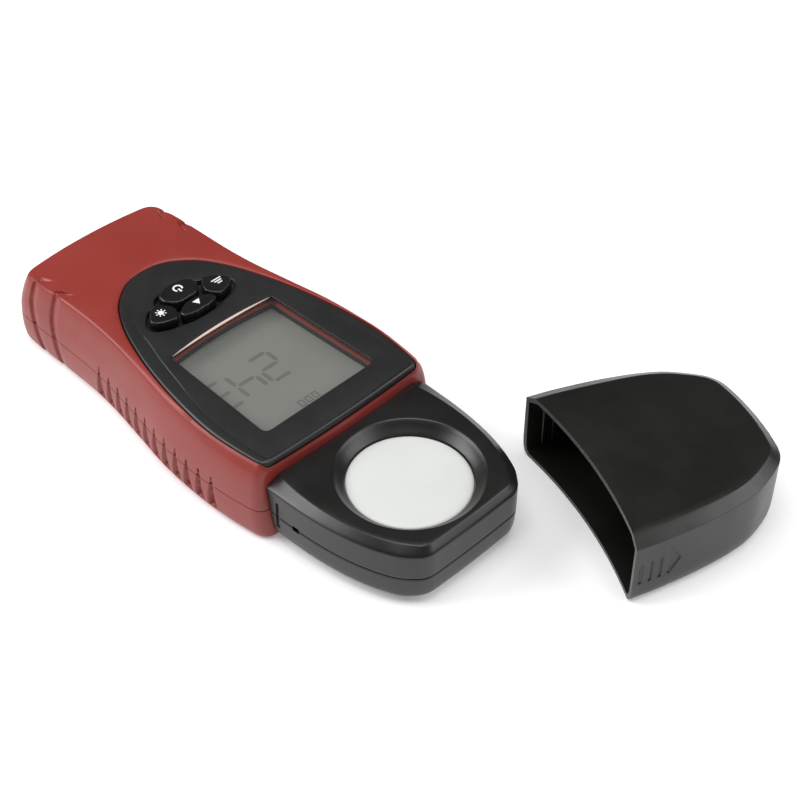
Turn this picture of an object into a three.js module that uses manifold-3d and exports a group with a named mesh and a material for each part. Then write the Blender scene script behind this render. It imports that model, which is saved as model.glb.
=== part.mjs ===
// Handheld light meter: a red two-shell housing with a display and four keys, a black sensor head
// with a white diffuser disc at one end, three AAA cells in the grip, and a loose protective cap.
// Millimetres. +X runs along the meter towards the sensor head, +Z is up, and the origin is the
// centre of the housing's flat underside.
import * as THREE from 'three';
import { mergeVertices } from 'three/addons/utils/BufferGeometryUtils.js';
import Module from 'manifold-3d';

const wasm = await Module();
wasm.setup();

// ---------- driving dimensions ----------
const GAP = 0.3; // clearance between pieces that meet

const HOUSING_FRONT = 65.6; // x of the front corners
const HOUSING_REAR = -63; // x of the grip corners
const HOUSING_TOP = 28.3; // height over the display
const GRIP_DROP = 2.6; // how much lower the top is at the grip end
const GRIP_DROP_START = -28; // x where the top starts to fall
const FRONT_DROP = 1.7; // how much lower the top is at the very front
const FRONT_DROP_SPAN = [60.4, 63]; // x range over which it falls there
const SPLIT_Z = 12; // parting plane between the two shells
const WALL = 2.2;
const CHEEK_SPAN = [30, 58]; // x range over which the sides become steeper towards the front
const HOUSING_SIDE = [
  [HOUSING_FRONT, 35.6], [60, 36.8], [48, 38.3], [35, 38.8], [20, 37.8], [5, 35.3],
  [-10, 32.8], [-22, 31.6], [-36, 31.2], [-50, 31.3], [HOUSING_REAR, 30.6],
];

const PLATE_TOP = 28.6; // flat inner panel of the faceplate
const PLATE_RIM = 27.2; // top of its outer wall, where the rounded edge starts
const PLATE_FRONT_RIM = 26.2; // the same at the front, where the edge is rounded more
const PLATE_BOTTOM = 25.4;
const PLATE_SIDE = [
  [62, 31.9], [54, 33.0], [44, 33.8], [35, 33.6], [25, 32.5], [14, 30.7], [2, 27.9],
  [-10, 24.0], [-18, 20.3], [-24.5, 15.9], [-29.3, 10.2], [-31.6, 5.2], [-32.3, 0],
];
const FLOOR_TOP = 25.1; // ledge of the upper housing that the faceplate lies on
const FLOOR_BOTTOM = 23.3;

const WINDOW_REAR = 7; // display window: x of its two ends and their half widths
const WINDOW_FRONT = 52.3;
const WINDOW_REAR_HALF = 20.9;
const WINDOW_FRONT_HALF = 22.6;
const WINDOW_BOW = 1.6; // bow of the rear edge
const LENS_TOP = 28.2;
const LENS_BOTTOM = 26.6;

const BOARD_TOP = 16.4;
const BOARD_BOTTOM = 14.8;
const GLASS_TOP = 23.0;
const GLASS_BOTTOM = 20.6;

const KEY_TOP = 31;
const KEY_BOTTOM = 27.9;
const KEY_STEM_END = 22.2;
const POCKET_FLOOR = 26.7; // floor of the hollow that the keys stand in
// Half outlines of the two middle keys and of the hollow, from front to rear, mirrored about X.
const POWER_HALF = [[-9, 0], [-9.3, 4.3], [-12.4, 6.9], [-14.6, 7], [-16.4, 6.3], [-17.9, 2.8], [-18.2, 0]];
const HOLD_HALF = [[-1.9, 0], [-2.1, 4.4], [-3, 6.9], [-5, 6.9], [-6.9, 4.4], [-7.9, 0]];
const POCKET_HALF = [
  [-0.9, 0], [-1.1, 4.5], [-1.9, 8], [-3, 12.4], [-5.2, 16.6], [-7.9, 17.8], [-10.8, 16.2],
  [-14.2, 12.8], [-15.2, 9], [-17.6, 7.4], [-19, 3.5], [-19.4, 0],
];
const SIDE_KEY = [
  [-3.5, 8.5], [-4.2, 12], [-6, 15.6], [-7.8, 16.5], [-10, 15.2], [-13, 12.1], [-13.6, 9.3],
  [-12.3, 8.2], [-8, 5.9],
];
const KEY_CORNER = 1; // rounding of the key outlines
const KEY_SPOTS = {
  power_key: { x: -13.8, y: 0, shape: mirroredHalf(POWER_HALF) },
  hold_key: { x: -4.9, y: 0, shape: mirroredHalf(HOLD_HALF) },
  mode_key: { x: -8.8, y: 12, shape: SIDE_KEY },
  light_key: { x: -8.8, y: -12, shape: SIDE_KEY.map(([x, y]) => [x, -y]).reverse() },
};

const DISC_X = 90; // centre of the white diffuser disc
const DISC_RADIUS = 19.1;
const DISH_RADIUS = 23; // top of the conical dish around the disc
const DISH_FLOOR = 19.2;
const HEAD_TOP = 23;
const HEAD_EDGE = 20.8; // where the chamfer round the top starts
const HEAD_BOTTOM = 3;
const HEAD_SPLIT = 11.5;
const HEAD_NOSE = 116;
const HEAD_WALL = 2;
const HEAD_SIDE = [
  [HEAD_NOSE, 19.2], [110.1, 24.3], [104.7, 27.0], [99, 29.0], [92.4, 30.6], [85.5, 31.7],
  [78, 32.4], [70, 32.7], [60, 32.8],
];
const NECK_HALF = 28; // the head's neck, held in the housing's front opening
const NECK_LOW = 5;
const NECK_HIGH = 21;
const NECK_FLANGE_HALF = 31;

const CELL = { radius: 5.2, body: 43.3, nub: 1.9, nubLength: 1.1, pitch: 11 }; // AAA cell
const CELL_REAR = -57.2;
const CELL_Z = 8.8;
const BAY_REAR = -60.2; // inside of the battery bay
const BAY_FRONT = -10.6;
const BAY_HALF = 16.8;
const COVER_END = -8.6; // inner end of the battery cover
const COVER_HALF = 17.6;
const COVER_TONGUE = 1.6; // tongue on each side that runs in the housing's groove

const CAP_X = 124.7; // where the loose cap lies: middle of its mouth, and its turn
const CAP_Y = 35.5;
const CAP_TURN = 68.7;
const CAP_TOP = 25.7;
const CAP_EDGE = 23.4;
const CAP_CROWN = 0.8;
const CAP_WALL = 1.4;
const CAP_LENGTH = 58.6; // to the nose corners
const CAP_MOUTH_BOW = 4;
const CAP_SIDE = [
  [CAP_LENGTH, 18.6], [53.3, 23.0], [45.1, 27.9], [36.8, 30.6], [29.2, 32.1], [21.9, 33.2],
  [14.8, 33.9], [7.9, 34.4], [0, 34.6],
];

const SCREW_SHANK = 1.2;
const SCREW_HOLE = 1.5;
const SCREW_HEAD = 2.6;
const HOUSING_SCREWS = [[-50, 24.4], [-50, -24.4], [50, 31.2], [50, -31.2]];
const HEAD_SCREWS = [[109.2, 15], [109.2, -15]];
const BOARD_SCREWS = [[-2, 24], [-2, -24]];

// ---------- finishes ----------
const finish = (color, roughness, metalness = 0) => ({ color, roughness, metalness });
const RED = finish(0xa2382e, 0.42);
const BLACK = finish(0x2b2b2a, 0.5);
const GLOSS = finish(0x1c1c1c, 0.25);
const KEY = finish(0x161616, 0.35);
const WHITE = finish(0xe6e8e3, 0.55);
const CLEAR = finish(0x9aa098, 0.08);
const LCD = finish(0x80817a, 0.3);
const BOARD = finish(0x1f5a35, 0.5);
const RUBBER = finish(0x3a3a3c, 0.8);
const STEEL = finish(0x9a9a9c, 0.35, 1);

// ---------- shapes ----------
// A closed outline from a half that starts and ends on the X axis.
function mirroredHalf(half) {
  return [...half, ...half.slice(1, -1).reverse().map(([x, y]) => [x, -y])];
}

function smooth(low, high, value) {
  const share = Math.min(1, Math.max(0, (value - low) / (high - low)));
  return share * share * (3 - 2 * share);
}

// A polygon with its corners rounded.
function rounded(points, reach) {
  const corners = points.map(([x, y]) => new THREE.Vector2(x, y));
  return corners.flatMap((corner, i) => {
    const before = corners[(i + corners.length - 1) % corners.length];
    const after = corners[(i + 1) % corners.length];
    const toward = (other) => {
      const share = Math.min(0.45, reach / corner.distanceTo(other));
      return corner.clone().lerp(other, share);
    };
    return new THREE.QuadraticBezierCurve(toward(before), corner, toward(after)).getPoints(2);
  });
}

function toSolid(geometry) {
  const bare = geometry.clone();
  bare.deleteAttribute('normal');
  bare.deleteAttribute('uv');
  const merged = mergeVertices(bare, 1e-4);
  const vertProperties = new Float32Array(merged.attributes.position.array);
  const triVerts = new Uint32Array(merged.index.array);
  return new wasm.Manifold(new wasm.Mesh({ numProp: 3, vertProperties, triVerts }));
}

function toGeometry(solid) {
  const mesh = solid.getMesh();
  const geometry = new THREE.BufferGeometry();
  geometry.setAttribute('position', new THREE.BufferAttribute(new Float32Array(mesh.vertProperties), 3));
  geometry.setIndex(new THREE.BufferAttribute(new Uint32Array(mesh.triVerts), 1));
  geometry.computeVertexNormals();
  return geometry;
}

function box(x0, x1, y0, y1, z0, z1) {
  const geometry = new THREE.BoxGeometry(x1 - x0, y1 - y0, z1 - z0);
  return toSolid(geometry.translate((x0 + x1) / 2, (y0 + y1) / 2, (z0 + z1) / 2));
}

function cylinder(radius, z0, z1, x = 0, y = 0, sides = 24) {
  const geometry = new THREE.CylinderGeometry(radius, radius, z1 - z0, sides);
  return toSolid(geometry.rotateX(Math.PI / 2).translate(x, y, (z0 + z1) / 2));
}

// A turned solid about a vertical axis, from [radius, z] points that start and end on the axis.
function turned(profile, x, y, sides = 48) {
  const points = profile.map(([radius, z]) => new THREE.Vector2(radius, z));
  const geometry = new THREE.LatheGeometry(points, sides);
  return toSolid(geometry.rotateX(Math.PI / 2).translate(x, y, 0));
}

function prism(points, z0, z1) {
  const geometry = new THREE.ExtrudeGeometry(new THREE.Shape(points), { depth: z1 - z0, bevelEnabled: false });
  return toSolid(geometry.translate(0, 0, z0));
}

function ellipse(x, y, [rx, ry], sides = 40) {
  return new THREE.EllipseCurve(x, y, rx, ry).getPoints(sides).slice(0, -1);
}

function sampled(curve, from, to, count) {
  const length = curve.getLength();
  const points = [];
  for (let i = 0; i <= count; i += 1) {
    const distance = from + ((length - from - to) * i) / count;
    points.push(curve.getPointAt(Math.min(1, Math.max(0, distance / length))));
  }
  return points;
}

// A closed outline, mirrored about the X axis. side holds [x, half width] points from the front
// corner to the rear corner. The end edges bow outwards and the corners are rounded.
function outline(side, { noseBow = 0, noseCorner = 0, tailBow = 0, tailCorner = 0, steps = 14 }) {
  const [noseX, noseHalf] = side[0];
  const [tailX, tailHalf] = side[side.length - 1];
  const sideCurve = new THREE.SplineCurve(side.map(([x, y]) => new THREE.Vector2(x, y)));
  const noseCurve = new THREE.QuadraticBezierCurve(
    new THREE.Vector2(noseX + noseBow, 0),
    new THREE.Vector2(noseX + noseBow, noseHalf / 2),
    new THREE.Vector2(noseX, noseHalf),
  );
  const sides = sampled(sideCurve, noseCorner, tailCorner, steps);
  const nose = sampled(noseCurve, 0, noseCorner, 4);
  const half = [...nose];
  if (noseCorner > 0) {
    const corner = new THREE.QuadraticBezierCurve(nose[4], new THREE.Vector2(noseX, noseHalf), sides[0]);
    half.push(...corner.getPoints(4).slice(1, -1));
    half.push(...sides);
  } else {
    half.push(...sides.slice(1));
  }
  if (tailHalf > 0) {
    const tailCurve = new THREE.QuadraticBezierCurve(
      new THREE.Vector2(tailX, tailHalf),
      new THREE.Vector2(tailX - tailBow, tailHalf / 2),
      new THREE.Vector2(tailX - tailBow, 0),
    );
    const tail = sampled(tailCurve, tailCorner, 0, 4);
    if (tailCorner > 0) {
      const sharp = new THREE.Vector2(tailX, tailHalf);
      const corner = new THREE.QuadraticBezierCurve(half[half.length - 1], sharp, tail[0]);
      half.push(...corner.getPoints(4).slice(1, -1));
      half.push(...tail);
    } else {
      half.push(...tail.slice(1));
    }
  }
  const mirrored = half.slice(1, -1).reverse().map((p) => new THREE.Vector2(p.x, -p.y));
  return [...half, ...mirrored];
}

// The outline moved inwards: by inset in general, by cheek on the sides close to the front, and by
// front where it faces forwards.
function moved(points, inset, cheek = inset, front = inset) {
  return points.map((point, i) => {
    const before = points[(i + points.length - 1) % points.length];
    const after = points[(i + 1) % points.length];
    const along = after.clone().sub(before).normalize();
    const side = inset + (cheek - inset) * smooth(CHEEK_SPAN[0], CHEEK_SPAN[1], point.x);
    const depth = side + (front - side) * Math.max(0, along.y) ** 2;
    return new THREE.Vector2(point.x - along.y * depth, point.y + along.x * depth);
  });
}

// A solid with one ring of the outline per level. A level gives the ring's insets, its height, which
// may depend on x, and how far it is drawn in towards the middle, across and along.
function softPrism(points, levels) {
  const count = points.length;
  const vertices = [];
  const xs = points.map((p) => p.x);
  const middle = (Math.min(...xs) + Math.max(...xs)) / 2;
  for (const { inset, cheek, front, z, draw = 0, drawAlong = draw } of levels) {
    for (const point of moved(points, inset, cheek, front)) {
      const x = point.x + (middle - point.x) * drawAlong;
      const y = point.y * (1 - draw);
      vertices.push(x, y, typeof z === 'function' ? z(x) : z);
    }
  }
  const index = [];
  for (let level = 0; level < levels.length - 1; level += 1) {
    for (let i = 0; i < count; i += 1) {
      const a = level * count + i;
      const b = level * count + ((i + 1) % count);
      index.push(a, b, b + count, a, b + count, a + count);
    }
  }
  const ring = (level) => {
    const flat = [];
    for (let i = 0; i < count; i += 1) {
      const at = (level * count + i) * 3;
      flat.push(new THREE.Vector2(vertices[at], vertices[at + 1]));
    }
    return THREE.ShapeUtils.triangulateShape(flat, []);
  };
  for (const [a, b, c] of ring(0)) {
    index.push(a, c, b);
  }
  const top = (levels.length - 1) * count;
  for (const [a, b, c] of ring(levels.length - 1)) {
    index.push(top + a, top + b, top + c);
  }
  const geometry = new THREE.BufferGeometry();
  geometry.setAttribute('position', new THREE.Float32BufferAttribute(vertices, 3));
  geometry.setIndex(index);
  return toSolid(geometry);
}

// ---------- assembly ----------
const meter = new THREE.Group();

function add(name, solid, look, parent = meter) {
  const geometry = solid.isBufferGeometry ? solid : toGeometry(solid);
  const mesh = new THREE.Mesh(geometry, new THREE.MeshStandardMaterial(look));
  mesh.name = name;
  parent.add(mesh);
  return mesh;
}

// ---------- housing ----------
const housingPlan = outline(HOUSING_SIDE, { noseBow: 1.1, noseCorner: 5, tailBow: 3, tailCorner: 7, steps: 13 });

function housingTop(x) {
  const fall = Math.max(0, GRIP_DROP_START - x) / (GRIP_DROP_START - HOUSING_REAR);
  const frontFall = smooth(FRONT_DROP_SPAN[0], FRONT_DROP_SPAN[1], x);
  return HOUSING_TOP - GRIP_DROP * fall * fall - FRONT_DROP * frontFall;
}

const belowTop = (depth) => (x) => housingTop(x) - depth;
const housingWall = [
  { inset: 1.7, cheek: 1.2, front: 1, z: 0.8 },
  { inset: 0.5, cheek: 0.3, front: 0.3, z: 3.2 },
  { inset: 0, cheek: 0, front: 0.9, z: 9 },
  { inset: 0.6, cheek: 0.3, front: 2.1, z: 17 },
  { inset: 1.6, cheek: 0.9, front: 2.8, z: 21.5 },
];
const housingOuter = softPrism(housingPlan, [
  { inset: 3.2, cheek: 2.4, front: 2.2, z: 0, draw: 0.01 },
  ...housingWall,
  { inset: 2.6, cheek: 2, front: 3, z: belowTop(3.4) },
  { inset: 3.2, cheek: 3, front: 3, z: belowTop(1.4), draw: 0.01, drawAlong: 0 },
  { inset: 3.2, cheek: 3.1, front: 3, z: belowTop(0.4), draw: 0.035, drawAlong: 0.004 },
  { inset: 3.2, cheek: 3.1, front: 3, z: belowTop(0), draw: 0.4 },
]);

// The hollow inside, one wall thickness smaller all round.
function hollow(wall) {
  const side = HOUSING_SIDE.map(([x, half]) => [x, half - wall]);
  side[0][0] = HOUSING_FRONT - wall;
  side[side.length - 1][0] = HOUSING_REAR + wall;
  const plan = outline(side, { noseBow: 1.1, noseCorner: 4, tailBow: 3, tailCorner: 6, steps: 10 });
  return softPrism(plan, [
    { inset: 1.8, z: wall },
    { inset: 0.5, z: wall + 1.6 },
    { inset: 0, z: 9 },
    { inset: 0.6, front: 1.4, z: 17 },
    { inset: 1.5, front: 2.4, z: 21.2 },
    { inset: 2.2, front: 2.6, z: belowTop(wall + 1.6) },
    { inset: 2.2, front: 2.6, z: belowTop(wall), draw: 0.06 },
  ]);
}
const housingInner = hollow(WALL);
const ABOVE_SPLIT = box(-80, 80, -50, 50, SPLIT_Z + GAP, 40);
const BELOW_SPLIT = box(-80, 80, -50, 50, -5, SPLIT_Z);

const platePlan = outline(PLATE_SIDE, { noseBow: 0.8, noseCorner: 2.4, steps: 20 });
const plateSeat = prism(moved(platePlan, -GAP), FLOOR_TOP, 40);
const neckOpening = box(60, 75, -NECK_HALF - 0.35, NECK_HALF + 0.35, NECK_LOW - 0.35, NECK_HIGH + 0.35);
const displayHole = box(5.4, 53.6, -24.4, 24.4, 20, 30);

function stemHoles(radius) {
  const spots = Object.values(KEY_SPOTS);
  return spots.map(({ x, y }) => cylinder(radius, 20, 28, x, y)).reduce((all, one) => all.add(one));
}

let upperHousing = housingOuter.subtract(housingInner);
// The ledge under the faceplate closes the top of the housing.
upperHousing = upperHousing.add(prism(moved(platePlan, -2.4), FLOOR_BOTTOM, FLOOR_TOP + 0.5).intersect(housingOuter));
upperHousing = upperHousing.intersect(ABOVE_SPLIT);
for (const [x, y] of HOUSING_SCREWS) {
  upperHousing = upperHousing.add(cylinder(3.3, SPLIT_Z + GAP, 24.5, x, y));
}
for (const [x, y] of BOARD_SCREWS) {
  upperHousing = upperHousing.add(cylinder(3, BOARD_TOP + GAP, 24.2, x, y));
}
upperHousing = upperHousing.intersect(housingOuter);
for (const [x, y] of HOUSING_SCREWS) {
  upperHousing = upperHousing.subtract(cylinder(SCREW_HOLE, SPLIT_Z - 1, 19.5, x, y, 16));
}
for (const [x, y] of BOARD_SCREWS) {
  upperHousing = upperHousing.subtract(cylinder(SCREW_HOLE, BOARD_TOP, 21.5, x, y, 16));
}
upperHousing = upperHousing.subtract(plateSeat).subtract(neckOpening);
upperHousing = upperHousing.subtract(displayHole).subtract(stemHoles(2.6));

// Battery bay: the cover slides in a groove along the underside, open at the grip end.
const coverGroove = box(-80, COVER_END + GAP, -COVER_HALF - GAP, COVER_HALF + GAP, -1, 2.4).add(
  box(-80, COVER_END + GAP, -COVER_HALF - COVER_TONGUE - GAP, COVER_HALF + COVER_TONGUE + GAP, 0.9, 2.4),
);
const bayOpening = box(BAY_REAR, BAY_FRONT, -BAY_HALF, BAY_HALF, -1, 30);
const bayRim = box(-64, COVER_END + 2.5, -22, 22, 2.2, 3.6).intersect(hollow(1.5));
const bayWalls = box(BAY_REAR - 1.2, BAY_FRONT + 1.2, -BAY_HALF - 1.2, BAY_HALF + 1.2, 2.2, 10.5);

let lowerHousing = housingOuter.subtract(housingInner).intersect(BELOW_SPLIT);
for (const [x, y] of HOUSING_SCREWS) {
  lowerHousing = lowerHousing.add(cylinder(3.8, 1, SPLIT_Z, x, y));
}
lowerHousing = lowerHousing.intersect(housingOuter).add(bayRim).add(bayWalls.intersect(housingOuter));
for (const [x, y] of HOUSING_SCREWS) {
  lowerHousing = lowerHousing.subtract(cylinder(SCREW_HOLE, -1, 15, x, y, 16));
  lowerHousing = lowerHousing.subtract(cylinder(SCREW_HEAD + GAP, -1, 6, x, y, 20));
}
lowerHousing = lowerHousing.subtract(coverGroove).subtract(bayOpening).subtract(neckOpening);

// Grip: tapered wedge recesses along both sides, and two hooked grooves per side near the end.
const WEDGES = 12;
const WEDGE_START = -17.1; // x of the tip of the rearmost wedge
const WEDGE_PITCH = 5.6;
const WEDGE_HALF = 2; // half its width at the bottom
const WEDGE_LOW = 3.2;
const WEDGE_TIP = 15.5;
const WEDGE_DEPTH = 0.9;
const HOUSING_OUTLINE = new THREE.SplineCurve(HOUSING_SIDE.map(([x, y]) => new THREE.Vector2(x, y))).getPoints(160);
function wedge(i, side) {
  const x = WEDGE_START + i * WEDGE_PITCH;
  const near = HOUSING_OUTLINE.reduce((best, p) => (Math.abs(p.x - x) < Math.abs(best.x - x) ? p : best));
  const tip = [x + 0.25, WEDGE_TIP];
  const shape = [[x - WEDGE_HALF, WEDGE_LOW], [x + WEDGE_HALF, WEDGE_LOW], tip, [x - 0.25, WEDGE_TIP]];
  const points = shape.map(([px, pz]) => new THREE.Vector2(px, pz));
  const geometry = new THREE.ExtrudeGeometry(new THREE.Shape(points), { depth: 4, bevelEnabled: false });
  geometry.rotateX(Math.PI / 2);
  // the extrusion runs from y = -4 to 0, so its inner face is set WEDGE_DEPTH under the wall
  const y = side > 0 ? near.y - WEDGE_DEPTH + 4 : -near.y + WEDGE_DEPTH;
  return toSolid(geometry.translate(0, y, 0));
}
// x is where the groove crosses the shoulder; it leans forwards by lean at its lower end.
function hookGroove(x, lean, side) {
  const path = new THREE.CatmullRomCurve3([
    new THREE.Vector3(x + 3.4, side * 24.2, 27.4),
    new THREE.Vector3(x + 0.4, side * 25.2, 26.6),
    new THREE.Vector3(x - 0.6, side * 28.6, 25.4),
    new THREE.Vector3(x, side * 30.6, 20),
    new THREE.Vector3(x + 0.5 * lean, side * 31.7, 11),
    new THREE.Vector3(x + lean, side * 31.4, 3.4),
  ]);
  const section = new THREE.Shape(ellipse(0, 0, [0.7, 0.7], 6));
  return toSolid(new THREE.ExtrudeGeometry(section, { steps: 8, bevelEnabled: false, extrudePath: path }));
}
for (const side of [-1, 1]) {
  for (let i = 0; i < WEDGES; i += 1) {
    upperHousing = upperHousing.subtract(wedge(i, side));
    lowerHousing = lowerHousing.subtract(wedge(i, side));
  }
  for (const [x, lean] of [[-54.5, 4.5], [-43.4, 2.9]]) {
    upperHousing = upperHousing.subtract(hookGroove(x, lean, side));
    lowerHousing = lowerHousing.subtract(hookGroove(x, lean, side));
  }
}
add('upper_housing', upperHousing, RED);
add('lower_housing', lowerHousing, RED);

let cover = housingOuter.intersect(box(-80, COVER_END, -COVER_HALF, COVER_HALF, -1, 2.1));
cover = cover.add(
  housingOuter.intersect(box(-80, COVER_END, -COVER_HALF - COVER_TONGUE, COVER_HALF + COVER_TONGUE, 1.2, 2.1)),
);
for (let i = 0; i < 5; i += 1) {
  cover = cover.subtract(box(-52 + i * 2.2, -51 + i * 2.2, -7, 7, -1, 0.5));
}
add('battery_cover', cover, RED);

// ---------- faceplate, window and keys ----------
// Its edge is rounded, more so along the front. share runs from 0 at the rim to 1 at the flat top.
const plateEdge = (share) => (x) => {
  const rim = PLATE_RIM + (PLATE_FRONT_RIM - PLATE_RIM) * smooth(FRONT_DROP_SPAN[0], FRONT_DROP_SPAN[1], x);
  return rim + (PLATE_TOP - rim) * share;
};
let faceplate = softPrism(platePlan, [
  { inset: 0, z: PLATE_BOTTOM },
  { inset: 0, z: plateEdge(0) },
  { inset: 0.4, z: plateEdge(0.35) },
  { inset: 1.1, z: plateEdge(0.68) },
  { inset: 2, z: plateEdge(0.86), draw: 0.01 },
  { inset: 2, z: PLATE_TOP, draw: 0.03 },
]);

function windowShape(grow) {
  const rear = WINDOW_REAR - grow;
  const front = WINDOW_FRONT + grow;
  const shape = new THREE.Shape();
  shape.moveTo(front, -WINDOW_FRONT_HALF - grow + 2.5);
  shape.lineTo(front, WINDOW_FRONT_HALF + grow - 2.5);
  shape.quadraticCurveTo(front, WINDOW_FRONT_HALF + grow, front - 2.5, WINDOW_FRONT_HALF + grow);
  shape.lineTo(rear, WINDOW_REAR_HALF + grow);
  shape.quadraticCurveTo(rear - 2 * WINDOW_BOW, 0, rear, -WINDOW_REAR_HALF - grow);
  shape.lineTo(front - 2.5, -WINDOW_FRONT_HALF - grow);
  shape.quadraticCurveTo(front, -WINDOW_FRONT_HALF - grow, front, -WINDOW_FRONT_HALF - grow + 2.5);
  return shape.getPoints(8).slice(0, -1);
}

faceplate = faceplate.subtract(prism(windowShape(0), 20, 40));
faceplate = faceplate.subtract(prism(windowShape(1.8), 20, LENS_TOP - 0.6 + GAP));
faceplate = faceplate.subtract(prism(rounded(mirroredHalf(POCKET_HALF), 1.5), POCKET_FLOOR, 40));
faceplate = faceplate.subtract(stemHoles(2.6));
add('faceplate', faceplate, BLACK);

const lens = prism(windowShape(1.5), LENS_BOTTOM, LENS_TOP - 0.6).add(prism(windowShape(-GAP), LENS_BOTTOM, LENS_TOP));
add('display_window', lens, CLEAR);

for (const [name, { x, y, shape }] of Object.entries(KEY_SPOTS)) {
  const stem = cylinder(2.1, KEY_STEM_END, KEY_BOTTOM + 0.5, x, y, 16);
  add(name, prism(rounded(shape, KEY_CORNER), KEY_BOTTOM, KEY_TOP).add(stem), KEY);
}

// Silicone keypad: a mat on the board with a post under each key.
let keypad = box(-21, 0.5, -17.5, 17.5, BOARD_TOP + GAP, BOARD_TOP + 1.5);
for (const { x, y } of Object.values(KEY_SPOTS)) {
  const post = turned([[0, 17.5], [3.4, 17.5], [3, 19.2], [2.2, 21], [0, 21]], x, y, 20);
  keypad = keypad.add(post);
}
add('keypad_membrane', keypad, RUBBER);

// ---------- display and main board ----------
const LCD_REAR = 3.2;
const LCD_FRONT = 55.4;
const LCD_HALF = 25.6;
add('lcd_panel', box(LCD_REAR + 1.2, LCD_FRONT - 1.2, -LCD_HALF + 1.2, LCD_HALF - 1.2, GLASS_BOTTOM, GLASS_TOP), LCD);
add('backlight_panel', box(LCD_REAR + 4.2, LCD_FRONT - 4.2, -23, 23, 18, GLASS_BOTTOM - GAP), WHITE);
const frameOuter = box(LCD_REAR - 0.7, LCD_FRONT + 0.7, -LCD_HALF - 0.7, LCD_HALF + 0.7, BOARD_TOP + GAP, GLASS_TOP);
const frameInner = box(LCD_REAR + 0.9, LCD_FRONT - 0.9, -LCD_HALF + 0.9, LCD_HALF - 0.9, 0, 40);
add('lcd_frame', frameOuter.subtract(frameInner), BLACK);
add('zebra_strip_rear', box(LCD_REAR + 1.4, LCD_REAR + 3.8, -22, 22, BOARD_TOP + GAP, GLASS_BOTTOM - GAP), RUBBER);
add('zebra_strip_front', box(LCD_FRONT - 3.8, LCD_FRONT - 1.4, -22, 22, BOARD_TOP + GAP, GLASS_BOTTOM - GAP), RUBBER);

let board = box(-7, 56.2, -27, 27, BOARD_BOTTOM, BOARD_TOP).add(box(-24, -6.9, -19, 19, BOARD_BOTTOM, BOARD_TOP));
for (const [x, y] of BOARD_SCREWS) {
  board = board.subtract(cylinder(SCREW_HOLE, 10, 20, x, y, 16));
}
add('main_board', board, BOARD);
let chip = box(20, 34, -7, 7, BOARD_BOTTOM - 2.1, BOARD_BOTTOM - GAP);
chip = chip.subtract(cylinder(0.8, 10, BOARD_BOTTOM - 1.8, 22, 5, 12));
add('controller_chip', chip, GLOSS);
const connector = box(48, 53, -7, 7, BOARD_BOTTOM - 3.8, BOARD_BOTTOM - GAP);
add('sensor_connector', connector.subtract(box(50, 60, -5.6, 5.6, 12, 13.3)), WHITE);

// ---------- battery ----------
function alongX(radius, x0, x1, y, z, sides = 24) {
  const geometry = new THREE.CylinderGeometry(radius, radius, x1 - x0, sides).rotateZ(Math.PI / 2);
  return toSolid(geometry.translate((x0 + x1) / 2, y, z));
}
const cellFront = CELL_REAR + CELL.body;
for (let i = 0; i < 3; i += 1) {
  const y = (i - 1) * CELL.pitch;
  const nub = i === 1 ? [CELL_REAR - CELL.nubLength, CELL_REAR + 1] : [cellFront - 1, cellFront + CELL.nubLength];
  const cell = alongX(CELL.radius, CELL_REAR, cellFront, y, CELL_Z).add(alongX(CELL.nub, ...nub, y, CELL_Z, 16));
  add(`battery_${i + 1}`, cell, GLOSS);
}
// Sprung contacts at the rear, flat ones in front, each a folded sheet with a solder tab.
function spring(x0, x1, y) {
  const geometry = new THREE.CylinderGeometry(1.6, 3, x1 - x0, 20).rotateZ(-Math.PI / 2);
  return toSolid(geometry.translate((x0 + x1) / 2, y, CELL_Z));
}
const sheetRear = box(BAY_REAR + GAP, BAY_REAR + 0.8, -15.6, 15.6, 4, 12.8);
const springs = spring(BAY_REAR + 0.6, CELL_REAR - GAP, -CELL.pitch).add(
  spring(BAY_REAR + 0.6, CELL_REAR - GAP, CELL.pitch),
);
add('rear_contacts', sheetRear.add(springs), STEEL);
const sheetFront = box(BAY_FRONT - 0.8, BAY_FRONT - GAP, -15.6, 15.6, 4, 12.8);
add('front_contacts', sheetFront.add(spring(cellFront + GAP, BAY_FRONT - 0.6, 0)), STEEL);

function wire(points) {
  const path = new THREE.CatmullRomCurve3(points.map(([x, y, z]) => new THREE.Vector3(x, y, z)));
  const section = new THREE.Shape(ellipse(0, 0, [0.6, 0.6], 6));
  return toSolid(new THREE.ExtrudeGeometry(section, { steps: 10, bevelEnabled: false, extrudePath: path }));
}
const solderZ = BOARD_BOTTOM - 0.7;
add('battery_lead_red', wire([[BAY_FRONT + 0.5, 11, 11.9], [-8.6, 12, 12], [-6, 13.6, 12.6], [-4.6, 14, solderZ]]), RED);
add('battery_lead_black', wire([
  [BAY_REAR + 1.6, -15, 13.6], [-56, -18.6, 12.6], [-45, -20, 9], [-34, -20, 8], [-25, -19.6, 10.5], [-21, -17, solderZ],
]), BLACK);

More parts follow.
